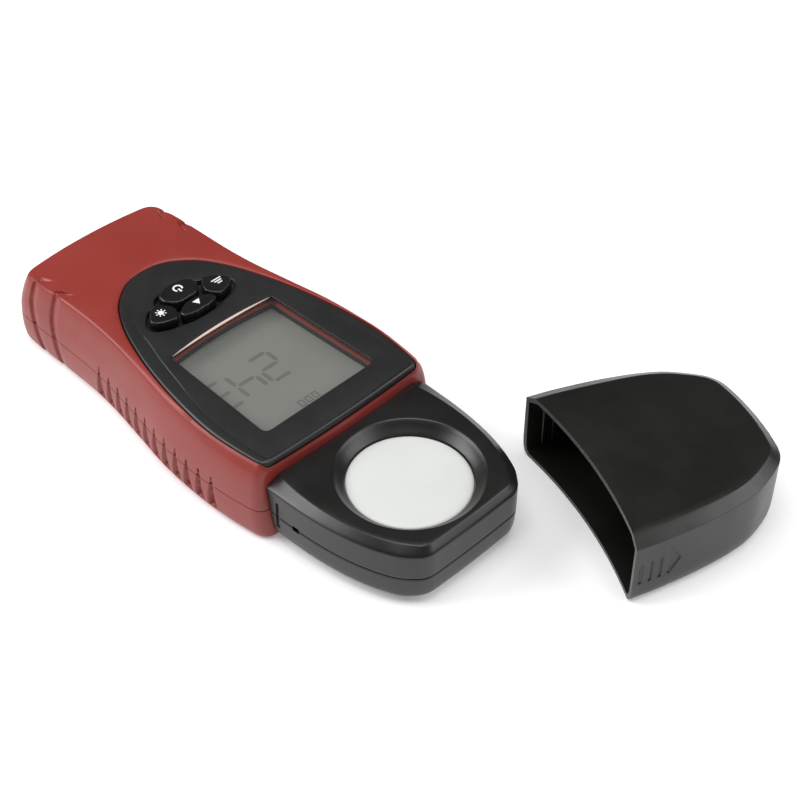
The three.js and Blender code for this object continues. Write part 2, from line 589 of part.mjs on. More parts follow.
// ---------- sensor head ----------
const headPlan = outline(HEAD_SIDE, { noseBow: 0.4, noseCorner: 3.4, steps: 11 });
const headOuter = softPrism(headPlan, [
  { inset: 1.6, z: HEAD_BOTTOM, draw: 0.02 },
  { inset: 0.6, z: HEAD_BOTTOM + 1.2 },
  { inset: 0.2, z: HEAD_BOTTOM + 4.4 },
  { inset: 0, z: HEAD_SPLIT },
  { inset: 0, z: HEAD_EDGE },
  { inset: 2, z: HEAD_TOP, draw: 0.03 },
]);
const headInnerSide = HEAD_SIDE.map(([x, half]) => [x, half - HEAD_WALL]);
headInnerSide[0][0] = HEAD_NOSE - HEAD_WALL;
const headInner = softPrism(outline(headInnerSide, { noseBow: 0.4, noseCorner: 4, steps: 8 }), [
  { inset: 1.8, z: HEAD_BOTTOM + HEAD_WALL },
  { inset: 0.4, z: HEAD_BOTTOM + 4 },
  { inset: 0, z: HEAD_EDGE - 1 },
  { inset: 1.2, z: HEAD_TOP - HEAD_WALL },
]);
// The rear of the head follows the housing's front face.
const FRONT_INSET_AT_HEAD_TOP = 2.9;
const housingGrown = softPrism(moved(housingPlan, -GAP), [
  { inset: 0, front: 0.3, z: -5 },
  ...housingWall.slice(1).map(({ front, z }) => ({ inset: 0, front, z })),
  { inset: 0, front: FRONT_INSET_AT_HEAD_TOP, z: 40 },
]);
const neckOuter = box(57.5, 75, -NECK_HALF, NECK_HALF, NECK_LOW, NECK_HIGH).add(
  box(57.5, 60.4, -NECK_FLANGE_HALF, NECK_FLANGE_HALF, NECK_LOW, NECK_HIGH),
);
const neckInner = box(50, 80, -NECK_HALF + 2, NECK_HALF - 2, NECK_LOW + 2, NECK_HIGH - 2);
let head = headOuter.subtract(housingGrown).add(neckOuter);
head = head.subtract(headInner.subtract(box(40, 69, -50, 50, 0, 40))).subtract(neckInner);
// Collar that carries the diffuser disc.
const collar = cylinder(25.4, DISH_FLOOR - 1.4, HEAD_TOP - 1, DISC_X, 0, 40);
const dish = turned(
  [[0, 10], [DISC_RADIUS + 0.35, 10], [DISC_RADIUS + 0.35, DISH_FLOOR], [DISH_RADIUS, HEAD_TOP], [DISH_RADIUS, 30], [0, 30]],
  DISC_X, 0, 40,
);
let headUpper = head.add(collar.intersect(headOuter).subtract(housingGrown));
headUpper = headUpper.intersect(box(50, 130, -50, 50, HEAD_SPLIT + 0.2, 40));
let headLower = head.intersect(box(50, 130, -50, 50, 0, HEAD_SPLIT - 0.1));
for (const [x, y] of HEAD_SCREWS) {
  headUpper = headUpper.add(cylinder(2.9, HEAD_SPLIT + 0.2, HEAD_TOP - 1, x, y, 20).intersect(headOuter));
  headUpper = headUpper.subtract(cylinder(SCREW_HOLE, HEAD_SPLIT, 18, x, y, 16));
  headLower = headLower.add(cylinder(3.4, HEAD_BOTTOM + 1, HEAD_SPLIT - 0.1, x, y, 20).intersect(headOuter));
  headLower = headLower.subtract(cylinder(SCREW_HOLE, 0, 15, x, y, 16));
  headLower = headLower.subtract(cylinder(SCREW_HEAD + GAP, 0, 6.6, x, y, 20));
}
add('head_upper_shell', headUpper.subtract(dish), BLACK);

// Standoffs under the sensor board.
const STANDOFFS = [[76, 12], [76, -12], [101, 9], [101, -9]];
for (const [x, y] of STANDOFFS) {
  headLower = headLower.add(cylinder(2, HEAD_BOTTOM + 1, 7.7, x, y, 16));
}
add('head_lower_shell', headLower, BLACK);

const disc = turned(
  [[0, 16.2], [20.8, 16.2], [20.8, 17.4], [DISC_RADIUS, 17.4], [DISC_RADIUS, 19.2], [18.4, 19.6], [14, 20], [8, 20.3], [0, 20.4]],
  DISC_X, 0, 40,
);
add('diffuser_disc', disc, WHITE);
add('sensor_board', box(72, 104.5, -14, 14, 8, 9.6), BOARD);
const photodiode = turned([[0, 9.9], [4.6, 9.9], [4.6, 10.6], [4.1, 10.6], [4.1, 12.6], [0, 12.6]], DISC_X, 0, 32);
add('photodiode', photodiode, STEEL);
add('photopic_filter', cylinder(5.2, 12.9, 14.4, DISC_X, 0, 32), LCD);
const pads = box(73.5, 78.5, -6.5, 6.5, 9.9, 11.6);
add('ribbon_socket', pads.subtract(box(70, 76.5, -5.4, 5.4, 10.3, 11.2)), WHITE);

// Flat cable from the sensor board, through the neck, to the main board.
const CABLE = 0.4;
const cablePath = [[50.6, 12.6], [57, 12.6], [62, 11.4], [68, 10.8], [76, 10.8]];
const cableOver = cablePath.map(([x, z]) => new THREE.Vector2(x, z + CABLE / 2));
const cableUnder = cablePath.map(([x, z]) => new THREE.Vector2(x, z - CABLE / 2)).reverse();
const cableShape = new THREE.Shape([...cableOver, ...cableUnder]);
const cable = new THREE.ExtrudeGeometry(cableShape, { depth: 10, bevelEnabled: false });
add('sensor_ribbon', toSolid(cable.rotateX(Math.PI / 2).translate(0, 5, 0)), finish(0xd8d4c8, 0.5));

// ---------- screws ----------
function screw(x, y, headLow, tip) {
  const slot = box(x - 1.8, x + 1.8, y - 0.4, y + 0.4, headLow - 1, headLow + 0.8);
  const cross = box(x - 0.4, x + 0.4, y - 1.8, y + 1.8, headLow - 1, headLow + 0.8);
  const body = turned([[0, headLow], [SCREW_HEAD, headLow], [SCREW_HEAD, headLow + 1.8], [SCREW_SHANK, headLow + 1.8],
    [SCREW_SHANK, tip - 1], [0, tip]], x, y, 16);
  return body.subtract(slot).subtract(cross);
}
HOUSING_SCREWS.forEach(([x, y], i) => add(`housing_screw_${i + 1}`, screw(x, y, 3.9, 18.6), STEEL));
HEAD_SCREWS.forEach(([x, y], i) => add(`head_screw_${i + 1}`, screw(x, y, 4.5, 17.2), STEEL));
BOARD_SCREWS.forEach(([x, y], i) => add(`board_screw_${i + 1}`, screw(x, y, 12.7, 20.6), STEEL));

// ---------- protective cap ----------
const capGroup = new THREE.Group();
capGroup.position.set(CAP_X, CAP_Y, 0);
capGroup.rotation.z = THREE.MathUtils.degToRad(CAP_TURN);
meter.add(capGroup);

const capPlan = outline(CAP_SIDE, { noseBow: 2, noseCorner: 5, steps: 12 });
const capOuter = softPrism(capPlan, [
  { inset: 2.2, z: 0, draw: 0.03 },
  { inset: 1.1, z: 1 },
  { inset: 0.2, z: 3.4 },
  { inset: 0, z: 10 },
  { inset: 0, z: CAP_EDGE },
  { inset: 2.2, z: CAP_TOP, draw: 0.03 },
  { inset: 2.2, z: CAP_TOP + CAP_CROWN, draw: 0.45 },
]);
const capInnerSide = CAP_SIDE.map(([x, half]) => [x, half - CAP_WALL]);
capInnerSide[0][0] = CAP_LENGTH - CAP_WALL;
const capInner = softPrism(outline(capInnerSide, { noseBow: 2, noseCorner: 4.4, steps: 9 }), [
  { inset: 2, z: CAP_WALL },
  { inset: 0.4, z: 2.6 },
  { inset: 0, z: 6 },
  { inset: 0, z: CAP_EDGE - 0.6 },
  { inset: 2, z: CAP_TOP - CAP_WALL, draw: 0.02 },
]);
// The mouth is cut back in a concave arc.
const mouth = new THREE.Shape();
mouth.moveTo(-10, -60);
mouth.lineTo(-1, -40);
mouth.quadraticCurveTo(2 * CAP_MOUTH_BOW + 1, 0, -1, 40);
mouth.lineTo(-10, 60);
const mouthCut = prism(mouth.getPoints(16), -5, 40);
const capOpening = capInner.add(box(-5, 3, -31, 31, CAP_WALL + 1, CAP_EDGE));
let cap = capOuter.subtract(capInner).subtract(capOpening).subtract(mouthCut);
// Grip bars and an arrow that points to the nose, on both sides.
const CAP_BARS = 4;
const CAP_BAR_START = 2.4;
const CAP_BAR_PITCH = 3.3;
for (const side of [-1, 1]) {
  for (let i = 0; i < CAP_BARS; i += 1) {
    const x = CAP_BAR_START + i * CAP_BAR_PITCH;
    const top = i === CAP_BARS - 1 ? 18 : 16.4;
    cap = cap.subtract(box(x, x + 1, -0.6, 0.6, 8, top).translate([0, side * (34.9 - i * 0.12), 0]));
  }
  const arrow = new THREE.Shape([new THREE.Vector2(13, 7.6), new THREE.Vector2(17, 12.9), new THREE.Vector2(13, 18.2)]);
  const arrowCut = new THREE.ExtrudeGeometry(arrow, { depth: 4, bevelEnabled: false }).rotateX(Math.PI / 2);
  cap = cap.subtract(toSolid(arrowCut.translate(0, side > 0 ? 33.5 + 4 : -33.5, 0)));
}
add('protective_cap', cap, BLACK, capGroup);

export default meter;
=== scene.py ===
"""Handheld light meter with its loose protective cap: the looks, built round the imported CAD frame.

Lengths are in millimetres in the CAD frame (+X towards the sensor head, +Z up) and are scaled to
metres when a mesh is made.
"""
import math

import bmesh
import bpy
import numpy as np
from mathutils import Matrix, Vector
from mathutils.geometry import delaunay_2d_cdt


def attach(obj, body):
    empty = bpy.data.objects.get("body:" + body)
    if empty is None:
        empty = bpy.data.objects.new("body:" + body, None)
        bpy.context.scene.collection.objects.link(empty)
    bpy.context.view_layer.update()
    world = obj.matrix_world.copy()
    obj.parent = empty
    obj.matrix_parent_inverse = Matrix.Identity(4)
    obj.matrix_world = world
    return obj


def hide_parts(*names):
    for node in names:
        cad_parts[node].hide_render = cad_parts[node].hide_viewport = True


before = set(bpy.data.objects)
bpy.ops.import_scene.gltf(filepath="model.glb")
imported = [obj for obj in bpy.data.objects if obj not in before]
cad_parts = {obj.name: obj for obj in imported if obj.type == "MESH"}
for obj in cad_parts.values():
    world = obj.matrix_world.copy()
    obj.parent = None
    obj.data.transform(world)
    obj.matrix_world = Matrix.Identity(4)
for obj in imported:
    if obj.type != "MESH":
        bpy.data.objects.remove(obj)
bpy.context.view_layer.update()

MM = 0.001
GAP = 0.3

# ---------------------------------------------------------------- camera and lights
AZIMUTH, ELEVATION, ROLL = 44.27, 43.18, 0.75
DISTANCE = 583.8
TARGET = Vector((60.13, 26.10, 15.0))
az, el, roll = (math.radians(a) for a in (AZIMUTH, ELEVATION, ROLL))
back = Vector((math.sin(az) * math.cos(el), -math.cos(az) * math.cos(el), math.sin(el)))
right = (-back).cross(Vector((0, 0, 1))).normalized()
up = right.cross(-back)
cam_right = right * math.cos(roll) + up * math.sin(roll)
cam_up = up * math.cos(roll) - right * math.sin(roll)
camera = bpy.data.objects.new("camera", bpy.data.cameras.new("camera"))
camera.data.sensor_width = 36
camera.data.lens = 84.2
camera.data.clip_start = 0.01
turn = Matrix((cam_right, cam_up, back)).transposed().to_4x4()
camera.matrix_world = Matrix.Translation((TARGET + back * DISTANCE) * MM) @ turn
bpy.context.scene.collection.objects.link(camera)
bpy.context.scene.camera = camera
bpy.context.scene.view_settings.view_transform = "Standard"


def area_light(name, azimuth, elevation, distance, size, power, colour=(1, 1, 1)):
    a, e = math.radians(azimuth), math.radians(elevation)
    way = Vector((math.sin(a) * math.cos(e), -math.cos(a) * math.cos(e), math.sin(e)))
    data = bpy.data.lights.new(name, "AREA")
    data.shape = "RECTANGLE"
    data.size, data.size_y = size
    data.energy = power
    data.color = colour
    light = bpy.data.objects.new(name, data)
    light.location = TARGET * MM + way * distance
    light.rotation_mode = "QUATERNION"
    light.rotation_quaternion = way.to_track_quat("Z", "Y")
    bpy.context.scene.collection.objects.link(light)


area_light("soft_left", -50, 38, 0.95, (0.7, 0.42), 6.6)
area_light("soft_right", 130, 36, 0.95, (0.7, 0.42), 3.5)
area_light("soft_top", 44, 86, 1.3, (0.9, 0.9), 10.4)
world = bpy.data.worlds.new("studio")
bpy.context.scene.world = world
world.use_nodes = True
world.node_tree.nodes["Background"].inputs["Color"].default_value = (0.93, 0.95, 1.0, 1)
world.node_tree.nodes["Background"].inputs["Strength"].default_value = 0.11


# ---------------------------------------------------------------- materials
class Look:
    """A node material: a Principled surface with procedural colour, roughness and bump."""

    def __init__(self, name):
        self.material = bpy.data.materials.new(name)
        self.material.use_nodes = True
        self.tree = self.material.node_tree
        self.shader = self.tree.nodes["Principled BSDF"]
        self.place = self.node("ShaderNodeTexCoord").outputs["Object"]

    def node(self, kind, **settings):
        made = self.tree.nodes.new(kind)
        for key, value in settings.items():
            setattr(made, key, value)
        return made

    def link(self, source, target):
        self.tree.links.new(source, target)

    def noise(self, scale, detail=3.0, rough=0.55, stretch=None):
        """Noise with features of about 1/scale metres."""
        place = self.place
        if stretch:
            mapping = self.node("ShaderNodeMapping")
            mapping.inputs["Scale"].default_value = stretch
            self.link(place, mapping.inputs["Vector"])
            place = mapping.outputs["Vector"]
        made = self.node("ShaderNodeTexNoise")
        made.inputs["Scale"].default_value = scale
        made.inputs["Detail"].default_value = detail
        made.inputs["Roughness"].default_value = rough
        self.link(place, made.inputs["Vector"])
        return made.outputs["Fac"]

    def spread(self, fac, low, high, out_low, out_high):
        made = self.node("ShaderNodeMapRange")
        for key, value in zip(("From Min", "From Max", "To Min", "To Max"), (low, high, out_low, out_high)):
            made.inputs[key].default_value = value
        self.link(fac, made.inputs["Value"])
        return made.outputs["Result"]

    def blend(self, fac, first, second):
        made = self.node("ShaderNodeMix", data_type="RGBA")
        self.link(fac, made.inputs[0])
        for socket, value in ((made.inputs[6], first), (made.inputs[7], second)):
            if isinstance(value, tuple):
                socket.default_value = (*value, 1)
            else:
                self.link(value, socket)
        return made.outputs[2]

    def bump(self, layers):
        """layers are (height, depth in mm) pairs, stacked."""
        normal = None
        for height, depth in layers:
            made = self.node("ShaderNodeBump")
            made.inputs["Strength"].default_value = 1.0
            made.inputs["Distance"].default_value = depth * MM
            self.link(height, made.inputs["Height"])
            if normal:
                self.link(normal, made.inputs["Normal"])
            normal = made.outputs["Normal"]
        self.link(normal, self.shader.inputs["Normal"])

    def set(self, **values):
        for key, value in values.items():
            self.shader.inputs[key.replace("_", " ")].default_value = value


def plastic(name, colour, roughness, grain=2600, grain_depth=0.012, vary=0.1, wear=0.25, wave=0.0):
    """Moulded plastic: spark-eroded grain, slow colour drift, rubbed edges and uneven gloss."""
    look = Look(name)
    dark = tuple(c * (1 - vary) for c in colour)
    light = tuple(min(1, c * (1 + vary) + 0.004) for c in colour)
    drift = look.noise(28, 4)
    base = look.blend(look.spread(drift, 0.3, 0.7, 0, 1), dark, light)
    edge = look.node("ShaderNodeNewGeometry").outputs["Pointiness"]
    rubbed = look.spread(edge, 0.52, 0.6, 0, wear)
    scuffed = look.spread(look.noise(190, 5), 0.35, 0.75, 0, 1)
    mask = look.node("ShaderNodeMath", operation="MULTIPLY")
    look.link(rubbed, mask.inputs[0])
    look.link(scuffed, mask.inputs[1])
    worn = tuple(min(1, c * 1.35 + 0.03) for c in colour)
    look.link(look.blend(mask.outputs[0], base, worn), look.shader.inputs["Base Color"])
    smudge = look.noise(70, 6, 0.65)
    look.link(
        look.spread(smudge, 0.3, 0.7, roughness - 0.05, roughness + 0.06), look.shader.inputs["Roughness"]
    )
    layers = [(look.noise(grain, 2, 0.6), grain_depth)]
    if wave:
        layers.append((look.noise(45, 1), wave))
    look.bump(layers)
    return look


RED = plastic("red_satin", (0.262, 0.029, 0.0215), 0.40, grain=2300, grain_depth=0.010, vary=0.06, wear=0.35)
BLACK = plastic("black_satin", (0.0062, 0.006, 0.0053), 0.32, grain=2600, grain_depth=0.010, vary=0.16)
CAP_BLACK = plastic("cap_black", (0.0075, 0.007, 0.0055), 0.32, grain=2100, grain_depth=0.009, vary=0.16)
PANEL = plastic(
    "panel_black", (0.014, 0.014, 0.0138), 0.38, grain=3400, grain_depth=0.006, vary=0.1, wear=0.1
)
KEY_BLACK = plastic(
    "key_black", (0.0045, 0.0045, 0.0048), 0.3, grain=2800, grain_depth=0.004, vary=0.15, wear=0.08
)
RED_TRIM = plastic("red_trim", (0.33, 0.05, 0.04), 0.34, grain=2000, grain_depth=0.005, vary=0.08, wear=0.1)
DARK_TRIM = plastic("dark_trim", (0.016, 0.017, 0.016), 0.5, grain=2000, grain_depth=0.006, wear=0.1)
WHITE_PARTS = plastic("white_parts", (0.72, 0.71, 0.67), 0.45, vary=0.04)
RUBBER = plastic("grey_rubber", (0.045, 0.045, 0.048), 0.75, grain=1500, grain_depth=0.02, vary=0.12)
SLEEVE = plastic("cell_sleeve", (0.02, 0.05, 0.12), 0.3, grain=900, grain_depth=0.006, vary=0.15)
WIRE_RED = plastic("wire_red", (0.42, 0.02, 0.015), 0.4, grain=1600, vary=0.1)
WIRE_BLACK = plastic("wire_black", (0.01, 0.01, 0.01), 0.4, grain=1600, vary=0.1)
INK = plastic("key_ink", (0.8, 0.8, 0.8), 0.5, grain=4000, grain_depth=0.003, vary=0.05, wear=0)
RIBBON = plastic("ribbon_film", (0.62, 0.58, 0.48), 0.35, grain=800, grain_depth=0.004, vary=0.08)


def opal():
    look = Look("opal_disc")
    drift = look.noise(120, 3)
    look.link(look.blend(drift, (0.64, 0.655, 0.63), (0.69, 0.70, 0.68)), look.shader.inputs["Base Color"])
    look.link(look.spread(look.noise(260, 4), 0.3, 0.7, 0.36, 0.46), look.shader.inputs["Roughness"])
    look.set(Subsurface_Weight=0.5, Subsurface_Scale=0.004, Subsurface_Radius=(1.0, 1.0, 0.9))
    look.bump([(look.noise(1800, 2), 0.004)])
    return look


def liquid_crystal():
    look = Look("display_glass")
    speck = look.noise(5200, 1)
    drift = look.noise(40, 3)
    even = look.blend(look.spread(drift, 0.3, 0.7, 0, 1), (0.232, 0.234, 0.212), (0.246, 0.249, 0.225))
    look.link(
        look.blend(look.spread(speck, 0.35, 0.8, 0, 0.25), even, (0.19, 0.20, 0.175)),
        look.shader.inputs["Base Color"],
    )
    look.link(look.spread(look.noise(300, 3), 0.3, 0.7, 0.42, 0.5), look.shader.inputs["Roughness"])
    look.bump([(look.noise(5200, 1), 0.002)])
    return look


def clear_sheet():
    look = Look("clear_window")
    haze = look.noise(90, 5)
    look.link(look.blend(haze, (0.10, 0.105, 0.10), (0.14, 0.145, 0.14)), look.shader.inputs["Base Color"])
    look.link(look.spread(look.noise(240, 6), 0.3, 0.7, 0.05, 0.12), look.shader.inputs["Roughness"])
    look.set(Alpha=0.10)
    look.bump([(look.noise(60, 2), 0.004)])
    return look


def circuit():
    look = Look("circuit_board")
    cell = look.node("ShaderNodeTexVoronoi", feature="DISTANCE_TO_EDGE")
    cell.inputs["Scale"].default_value = 420
    look.link(look.place, cell.inputs["Vector"])
    track = look.spread(cell.outputs["Distance"], 0.04, 0.09, 1, 0)
    look.link(look.blend(track, (0.012, 0.085, 0.03), (0.03, 0.16, 0.06)), look.shader.inputs["Base Color"])
    look.link(look.spread(look.noise(400, 3), 0.3, 0.7, 0.32, 0.5), look.shader.inputs["Roughness"])
    look.bump([(track, 0.03)])
    return look


def metal(name, colour, roughness):
    look = Look(name)
    brushed = look.noise(900, 4, 0.6, (1, 9, 1))
    dark = tuple(c * 0.8 for c in colour)
    look.link(look.blend(brushed, dark, colour), look.shader.inputs["Base Color"])
    look.link(
        look.spread(brushed, 0.3, 0.7, roughness - 0.06, roughness + 0.08), look.shader.inputs["Roughness"]
    )
    look.set(Metallic=1.0)
    look.bump([(brushed, 0.004)])
    return look


def stone_floor():
    look = Look("pale_floor")
    drift = look.noise(3, 3)
    look.link(look.blend(drift, (0.90, 0.90, 0.90), (0.92, 0.92, 0.92)), look.shader.inputs["Base Color"])
    look.set(Roughness=0.75, Emission_Color=(1, 1, 1, 1), Emission_Strength=0.22)
    look.bump([(look.noise(700, 3), 0.01)])
    return look


OPAL, LCD, CLEAR, BOARD = opal(), liquid_crystal(), clear_sheet(), circuit()
STEEL = metal("plated_steel", (0.62, 0.61, 0.59), 0.3)
FILTER = plastic("filter_green", (0.10, 0.22, 0.12), 0.12, grain=500, grain_depth=0.002, wear=0)
LINT = plastic("segment_grey", (0.150, 0.155, 0.136), 0.5, grain=3000, grain_depth=0.002, vary=0.08, wear=0)
GLINT = plastic("lit_edge", (0.66, 0.53, 0.46), 0.2, grain=900, grain_depth=0.003, vary=0.08, wear=0)


# ---------------------------------------------------------------- curves and rings
def spline(points, per=30):
    """A uniform Catmull-Rom curve through the points."""
    p = np.array(points, float)
    p = np.vstack([p[:1], p, p[-1:]])
    t = np.linspace(0, 1, per, endpoint=False)[:, None]
    out = []
    for i in range(1, len(p) - 2):
        a, b, c, d = p[i - 1:i + 3]
        v0, v1 = (c - a) / 2, (d - b) / 2
        out.append((2 * b - 2 * c + v0 + v1) * t**3 + (-3 * b + 3 * c - 2 * v0 - v1) * t**2 + v0 * t + b)
    return np.vstack([*out, p[-1:]])


def trimmed(line, start, end, count):
    """count points along a polyline, leaving out the given lengths at its two ends."""
    lengths = np.concatenate([[0], np.cumsum(np.linalg.norm(np.diff(line, axis=0), axis=1))])
    at = np.linspace(start, lengths[-1] - end, count)
    return np.stack([np.interp(at, lengths, line[:, k]) for k in range(line.shape[1])], axis=1)


def bezier(a, b, c, count):
    t = np.linspace(0, 1, count)[:, None]
    a, b, c = (np.array(p, float) for p in (a, b, c))
    return a * (1 - t)**2 + 2 * b * t * (1 - t) + c * t**2


def outline(side, nose_bow=0.0, nose_corner=0.0, tail_bow=0.0, tail_corner=0.0, counts=(36, 14, 300, 18, 40)):
    """A closed outline, mirrored about the X axis, from [x, half width] points, front to rear."""
    (nose_x, nose_half), (tail_x, tail_half) = side[0], side[-1]
    bow_x = nose_x + nose_bow
    nose = bezier((bow_x, 0), (bow_x, nose_half / 2), (nose_x, nose_half), 200)
    nose = trimmed(nose, 0, nose_corner, counts[0])
    flank = trimmed(spline(side), nose_corner, tail_corner, counts[2])
    parts = [nose]
    if nose_corner:
        parts += [bezier(nose[-1], (nose_x, nose_half), flank[0], counts[1] + 2)[1:-1], flank]
    else:
        parts.append(flank[1:])
    if tail_half > 0:
        bow_x = tail_x - tail_bow
        tail = bezier((tail_x, tail_half), (bow_x, tail_half / 2), (bow_x, 0), 200)
        tail = trimmed(tail, tail_corner, 0, counts[4])
        if tail_corner:
            parts += [bezier(flank[-1], (tail_x, tail_half), tail[0], counts[3] + 2)[1:-1], tail]
        else:
            parts.append(tail[1:])
    half = np.vstack(parts)
    return np.vstack([half, half[1:-1][::-1] * [1, -1]])


def normals(ring):
    along = np.roll(ring, -1, 0) - np.roll(ring, 1, 0)
    along /= np.linalg.norm(along, axis=1)[:, None]
    return np.stack([along[:, 1], -along[:, 0]], axis=1)


def grown(ring, distance):
    return ring + normals(ring) * np.reshape(distance, (-1, 1) if np.ndim(distance) else (1, 1))


def cast(ring, target, centre):
    """The points of target's outline in the same directions from the centre as ring's points."""
    def polar(points):
        d = points - centre
        return np.arctan2(d[:, 1], d[:, 0]), np.hypot(d[:, 0], d[:, 1])
    angle, _ = polar(ring)
    target_angle, radius = polar(target)
    order = np.argsort(target_angle)
    r = np.interp(angle, target_angle[order], radius[order], period=2 * math.pi)
    return np.array(centre) + np.stack([np.cos(angle), np.sin(angle)], 1) * r[:, None]


def circle(radius, centre=(0, 0), count=64):
    a = np.linspace(0, 2 * math.pi, count, endpoint=False)
    rx, ry = (radius, radius) if np.isscalar(radius) else radius
    return np.stack([centre[0] + rx * np.cos(a), centre[1] + ry * np.sin(a)], 1)


def smooth(low, high, value):
    t = np.clip((np.asarray(value, float) - low) / (high - low), 0, 1)
    return t * t * (3 - 2 * t)


def within(points, loop):
    """Which of the points lie inside the loop."""
    after = np.roll(loop, -1, 0)
    px, py = points[:, :1], points[:, 1:]
    crosses = (loop[:, 1] > py) != (after[:, 1] > py)
    rise = np.where(after[:, 1] == loop[:, 1], 1e-9, after[:, 1] - loop[:, 1])
    crossing = (after[:, 0] - loop[:, 0]) * (py - loop[:, 1]) / rise + loop[:, 0]
    return ((px < crossing) & crosses).sum(1) % 2 == 1


# ---------------------------------------------------------------- meshes
class Skin:
    """Collects rings of points and the faces between them, as one closed surface or several."""

    def __init__(self):
        self.points, self.faces = [], []

    def ring(self, xy, z):
        xy = np.asarray(xy, float)
        z = np.broadcast_to(z, len(xy))
        start = len(self.points)
        self.points.extend(np.column_stack([xy, z]).tolist())
        return np.arange(start, start + len(xy))

    def wall(self, a, b):
        """Faces from ring a to ring b. Rings run anticlockwise seen from above."""
        a2, b2 = np.roll(a, -1), np.roll(b, -1)
        self.faces.extend(np.stack([a, a2, b2, b], 1).tolist())

    def stack(self, rings):
        for a, b in zip(rings, rings[1:]):
            self.wall(a, b)
        return rings

    def fill(self, outer, holes=(), up=True):
        """Triangles between an outer ring and the rings of the holes in it."""
        loops = [outer, *holes]
        ids = np.concatenate(loops)
        flat = [Vector(self.points[i][:2]) for i in ids]
        edges, start = [], 0
        for loop in loops:
            edges += [(start + k, start + (k + 1) % len(loop)) for k in range(len(loop))]
            start += len(loop)
        made = delaunay_2d_cdt(flat, edges, [], 2, 1e-6)
        where = [int(ids[source[0]]) for source in made[3]]
        triangles = np.array([[where[n] for n in face] for face in made[2]])
        xy = np.array(self.points)[:, :2]
        keep = np.ones(len(triangles), bool)
        for loop in holes:
            keep &= ~within(xy[triangles].mean(1), xy[loop])
        self.faces.extend((triangles[keep] if up else triangles[keep][:, ::-1]).tolist())

    def prism(self, xy, z0, z1, holes=()):
        low, high = self.ring(xy, z0), self.ring(xy, z1)
        self.wall(low, high)
        inner = [(self.ring(h, z1), self.ring(h, z0)) for h in holes]
        for top, bottom in inner:
            self.wall(top, bottom)
        self.fill(high, [t for t, _ in inner])
        self.fill(low, [b for _, b in inner], up=False)

    def stepped(self, levels):
        """A closed solid through (ring points, z) levels."""
        rings = self.stack([self.ring(xy, z) for xy, z in levels])
        self.fill(rings[0], up=False)
        self.fill(rings[-1])

    def object(self, name):
        mesh = bpy.data.meshes.new(name)
        mesh.from_pydata((np.array(self.points) * MM).tolist(), [], self.faces)
        mesh.update()
        made = bpy.data.objects.new(name, mesh)
        bpy.context.scene.collection.objects.link(made)
        return made


def shade(target, angle=32):
    """Smooth shading, with edges sharper than the angle kept sharp."""
    work = bmesh.new()
    work.from_mesh(target.data)
    bmesh.ops.remove_doubles(work, verts=work.verts, dist=1e-7)
    bmesh.ops.dissolve_degenerate(work, edges=work.edges, dist=1e-7)
    bmesh.ops.holes_fill(work, edges=[edge for edge in work.edges if len(edge.link_faces) == 1], sides=6)
    limit = math.radians(angle)
    for face in work.faces:
        face.smooth = True
    for edge in work.edges:
        edge.smooth = len(edge.link_faces) == 2 and edge.calc_face_angle(0) < limit
    work.to_mesh(target.data)
    work.free()


def piece(target, look, body, slot, *nodes, angle=32):
    shade(target, angle)
    target.data.materials.clear()
    target.data.materials.append(look.material)
    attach(target, body)
    if nodes:
        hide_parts(*nodes)
    return target


def carve(target, cutter, operation="DIFFERENCE"):
    """Cuts or joins with a boolean and applies it. cutter is a Skin."""
    tool = cutter.object("tool")
    modifier = target.modifiers.new("cut", "BOOLEAN")
    modifier.operation = operation
    modifier.solver = "EXACT"
    modifier.object = tool
    graph = bpy.context.evaluated_depsgraph_get()
    cut = bpy.data.meshes.new_from_object(target.evaluated_get(graph))
    target.modifiers.clear()
    target.data = cut
    bpy.data.objects.remove(tool)


def rectangle(x0, x1, y0, y1):
    return np.array([[x1, y0], [x1, y1], [x0, y1], [x0, y0]], float)


# ---------------------------------------------------------------- housing
HOUSING_FRONT, HOUSING_REAR = 65.6, -63.0
HOUSING_TOP, GRIP_DROP, GRIP_DROP_START = 28.3, 2.6, -28.0
SPLIT_Z, WALL = 12.0, 2.2
HOUSING_SIDE = [
    [HOUSING_FRONT, 35.6], [60, 36.8], [48, 38.3], [35, 38.8], [20, 37.8], [5, 35.3],
    [-10, 32.8], [-22, 31.6], [-36, 31.2], [-50, 31.3], [HOUSING_REAR, 30.6],
]
# Up the outside: inset, inset on the sides near the front, inset of the front, height, and draw
# towards the middle across and along.
SECTION = np.array([
    [2.9, 2.3, 2.1, 0, 0.012, 0.012], [2.45, 1.9, 1.75, 0.2, 0.006, 0.006], [1.7, 1.2, 1.0, 0.8, 0, 0],
    [1.0, 0.65, 0.55, 1.8, 0, 0], [0.5, 0.3, 0.3, 3.2, 0, 0],
    [0.12, 0.05, 0.5, 6, 0, 0], [0, 0, 0.9, 9, 0, 0],
    [0.18, 0.1, 1.5, 13, 0, 0], [0.6, 0.3, 2.1, 17, 0, 0], [1.6, 0.9, 2.8, 21.5, 0, 0],
    [2.5, 1.9, 3.0, 24.6, 0, 0], [3.05, 2.75, 3.0, 26.4, 0.006, 0], [3.2, 3.05, 3.0, 27.2, 0.014, 0.001],
    [3.2, 3.1, 3.0, 27.75, 0.026, 0.003], [3.2, 3.1, 3.0, 28.0, 0.038, 0.005],
])
CHEEK_SPAN = (30, 58)
FRONT_DROP, FRONT_DROP_SPAN = 1.7, (60.4, 63.0)
PLATE_SIDE = [
    [62, 31.9], [54, 33.0], [44, 33.8], [35, 33.6], [25, 32.5], [14, 30.7], [2, 27.9],
    [-10, 24.0], [-18, 20.3], [-24.5, 15.9], [-29.3, 10.2], [-31.6, 5.2], [-32.3, 0],
]
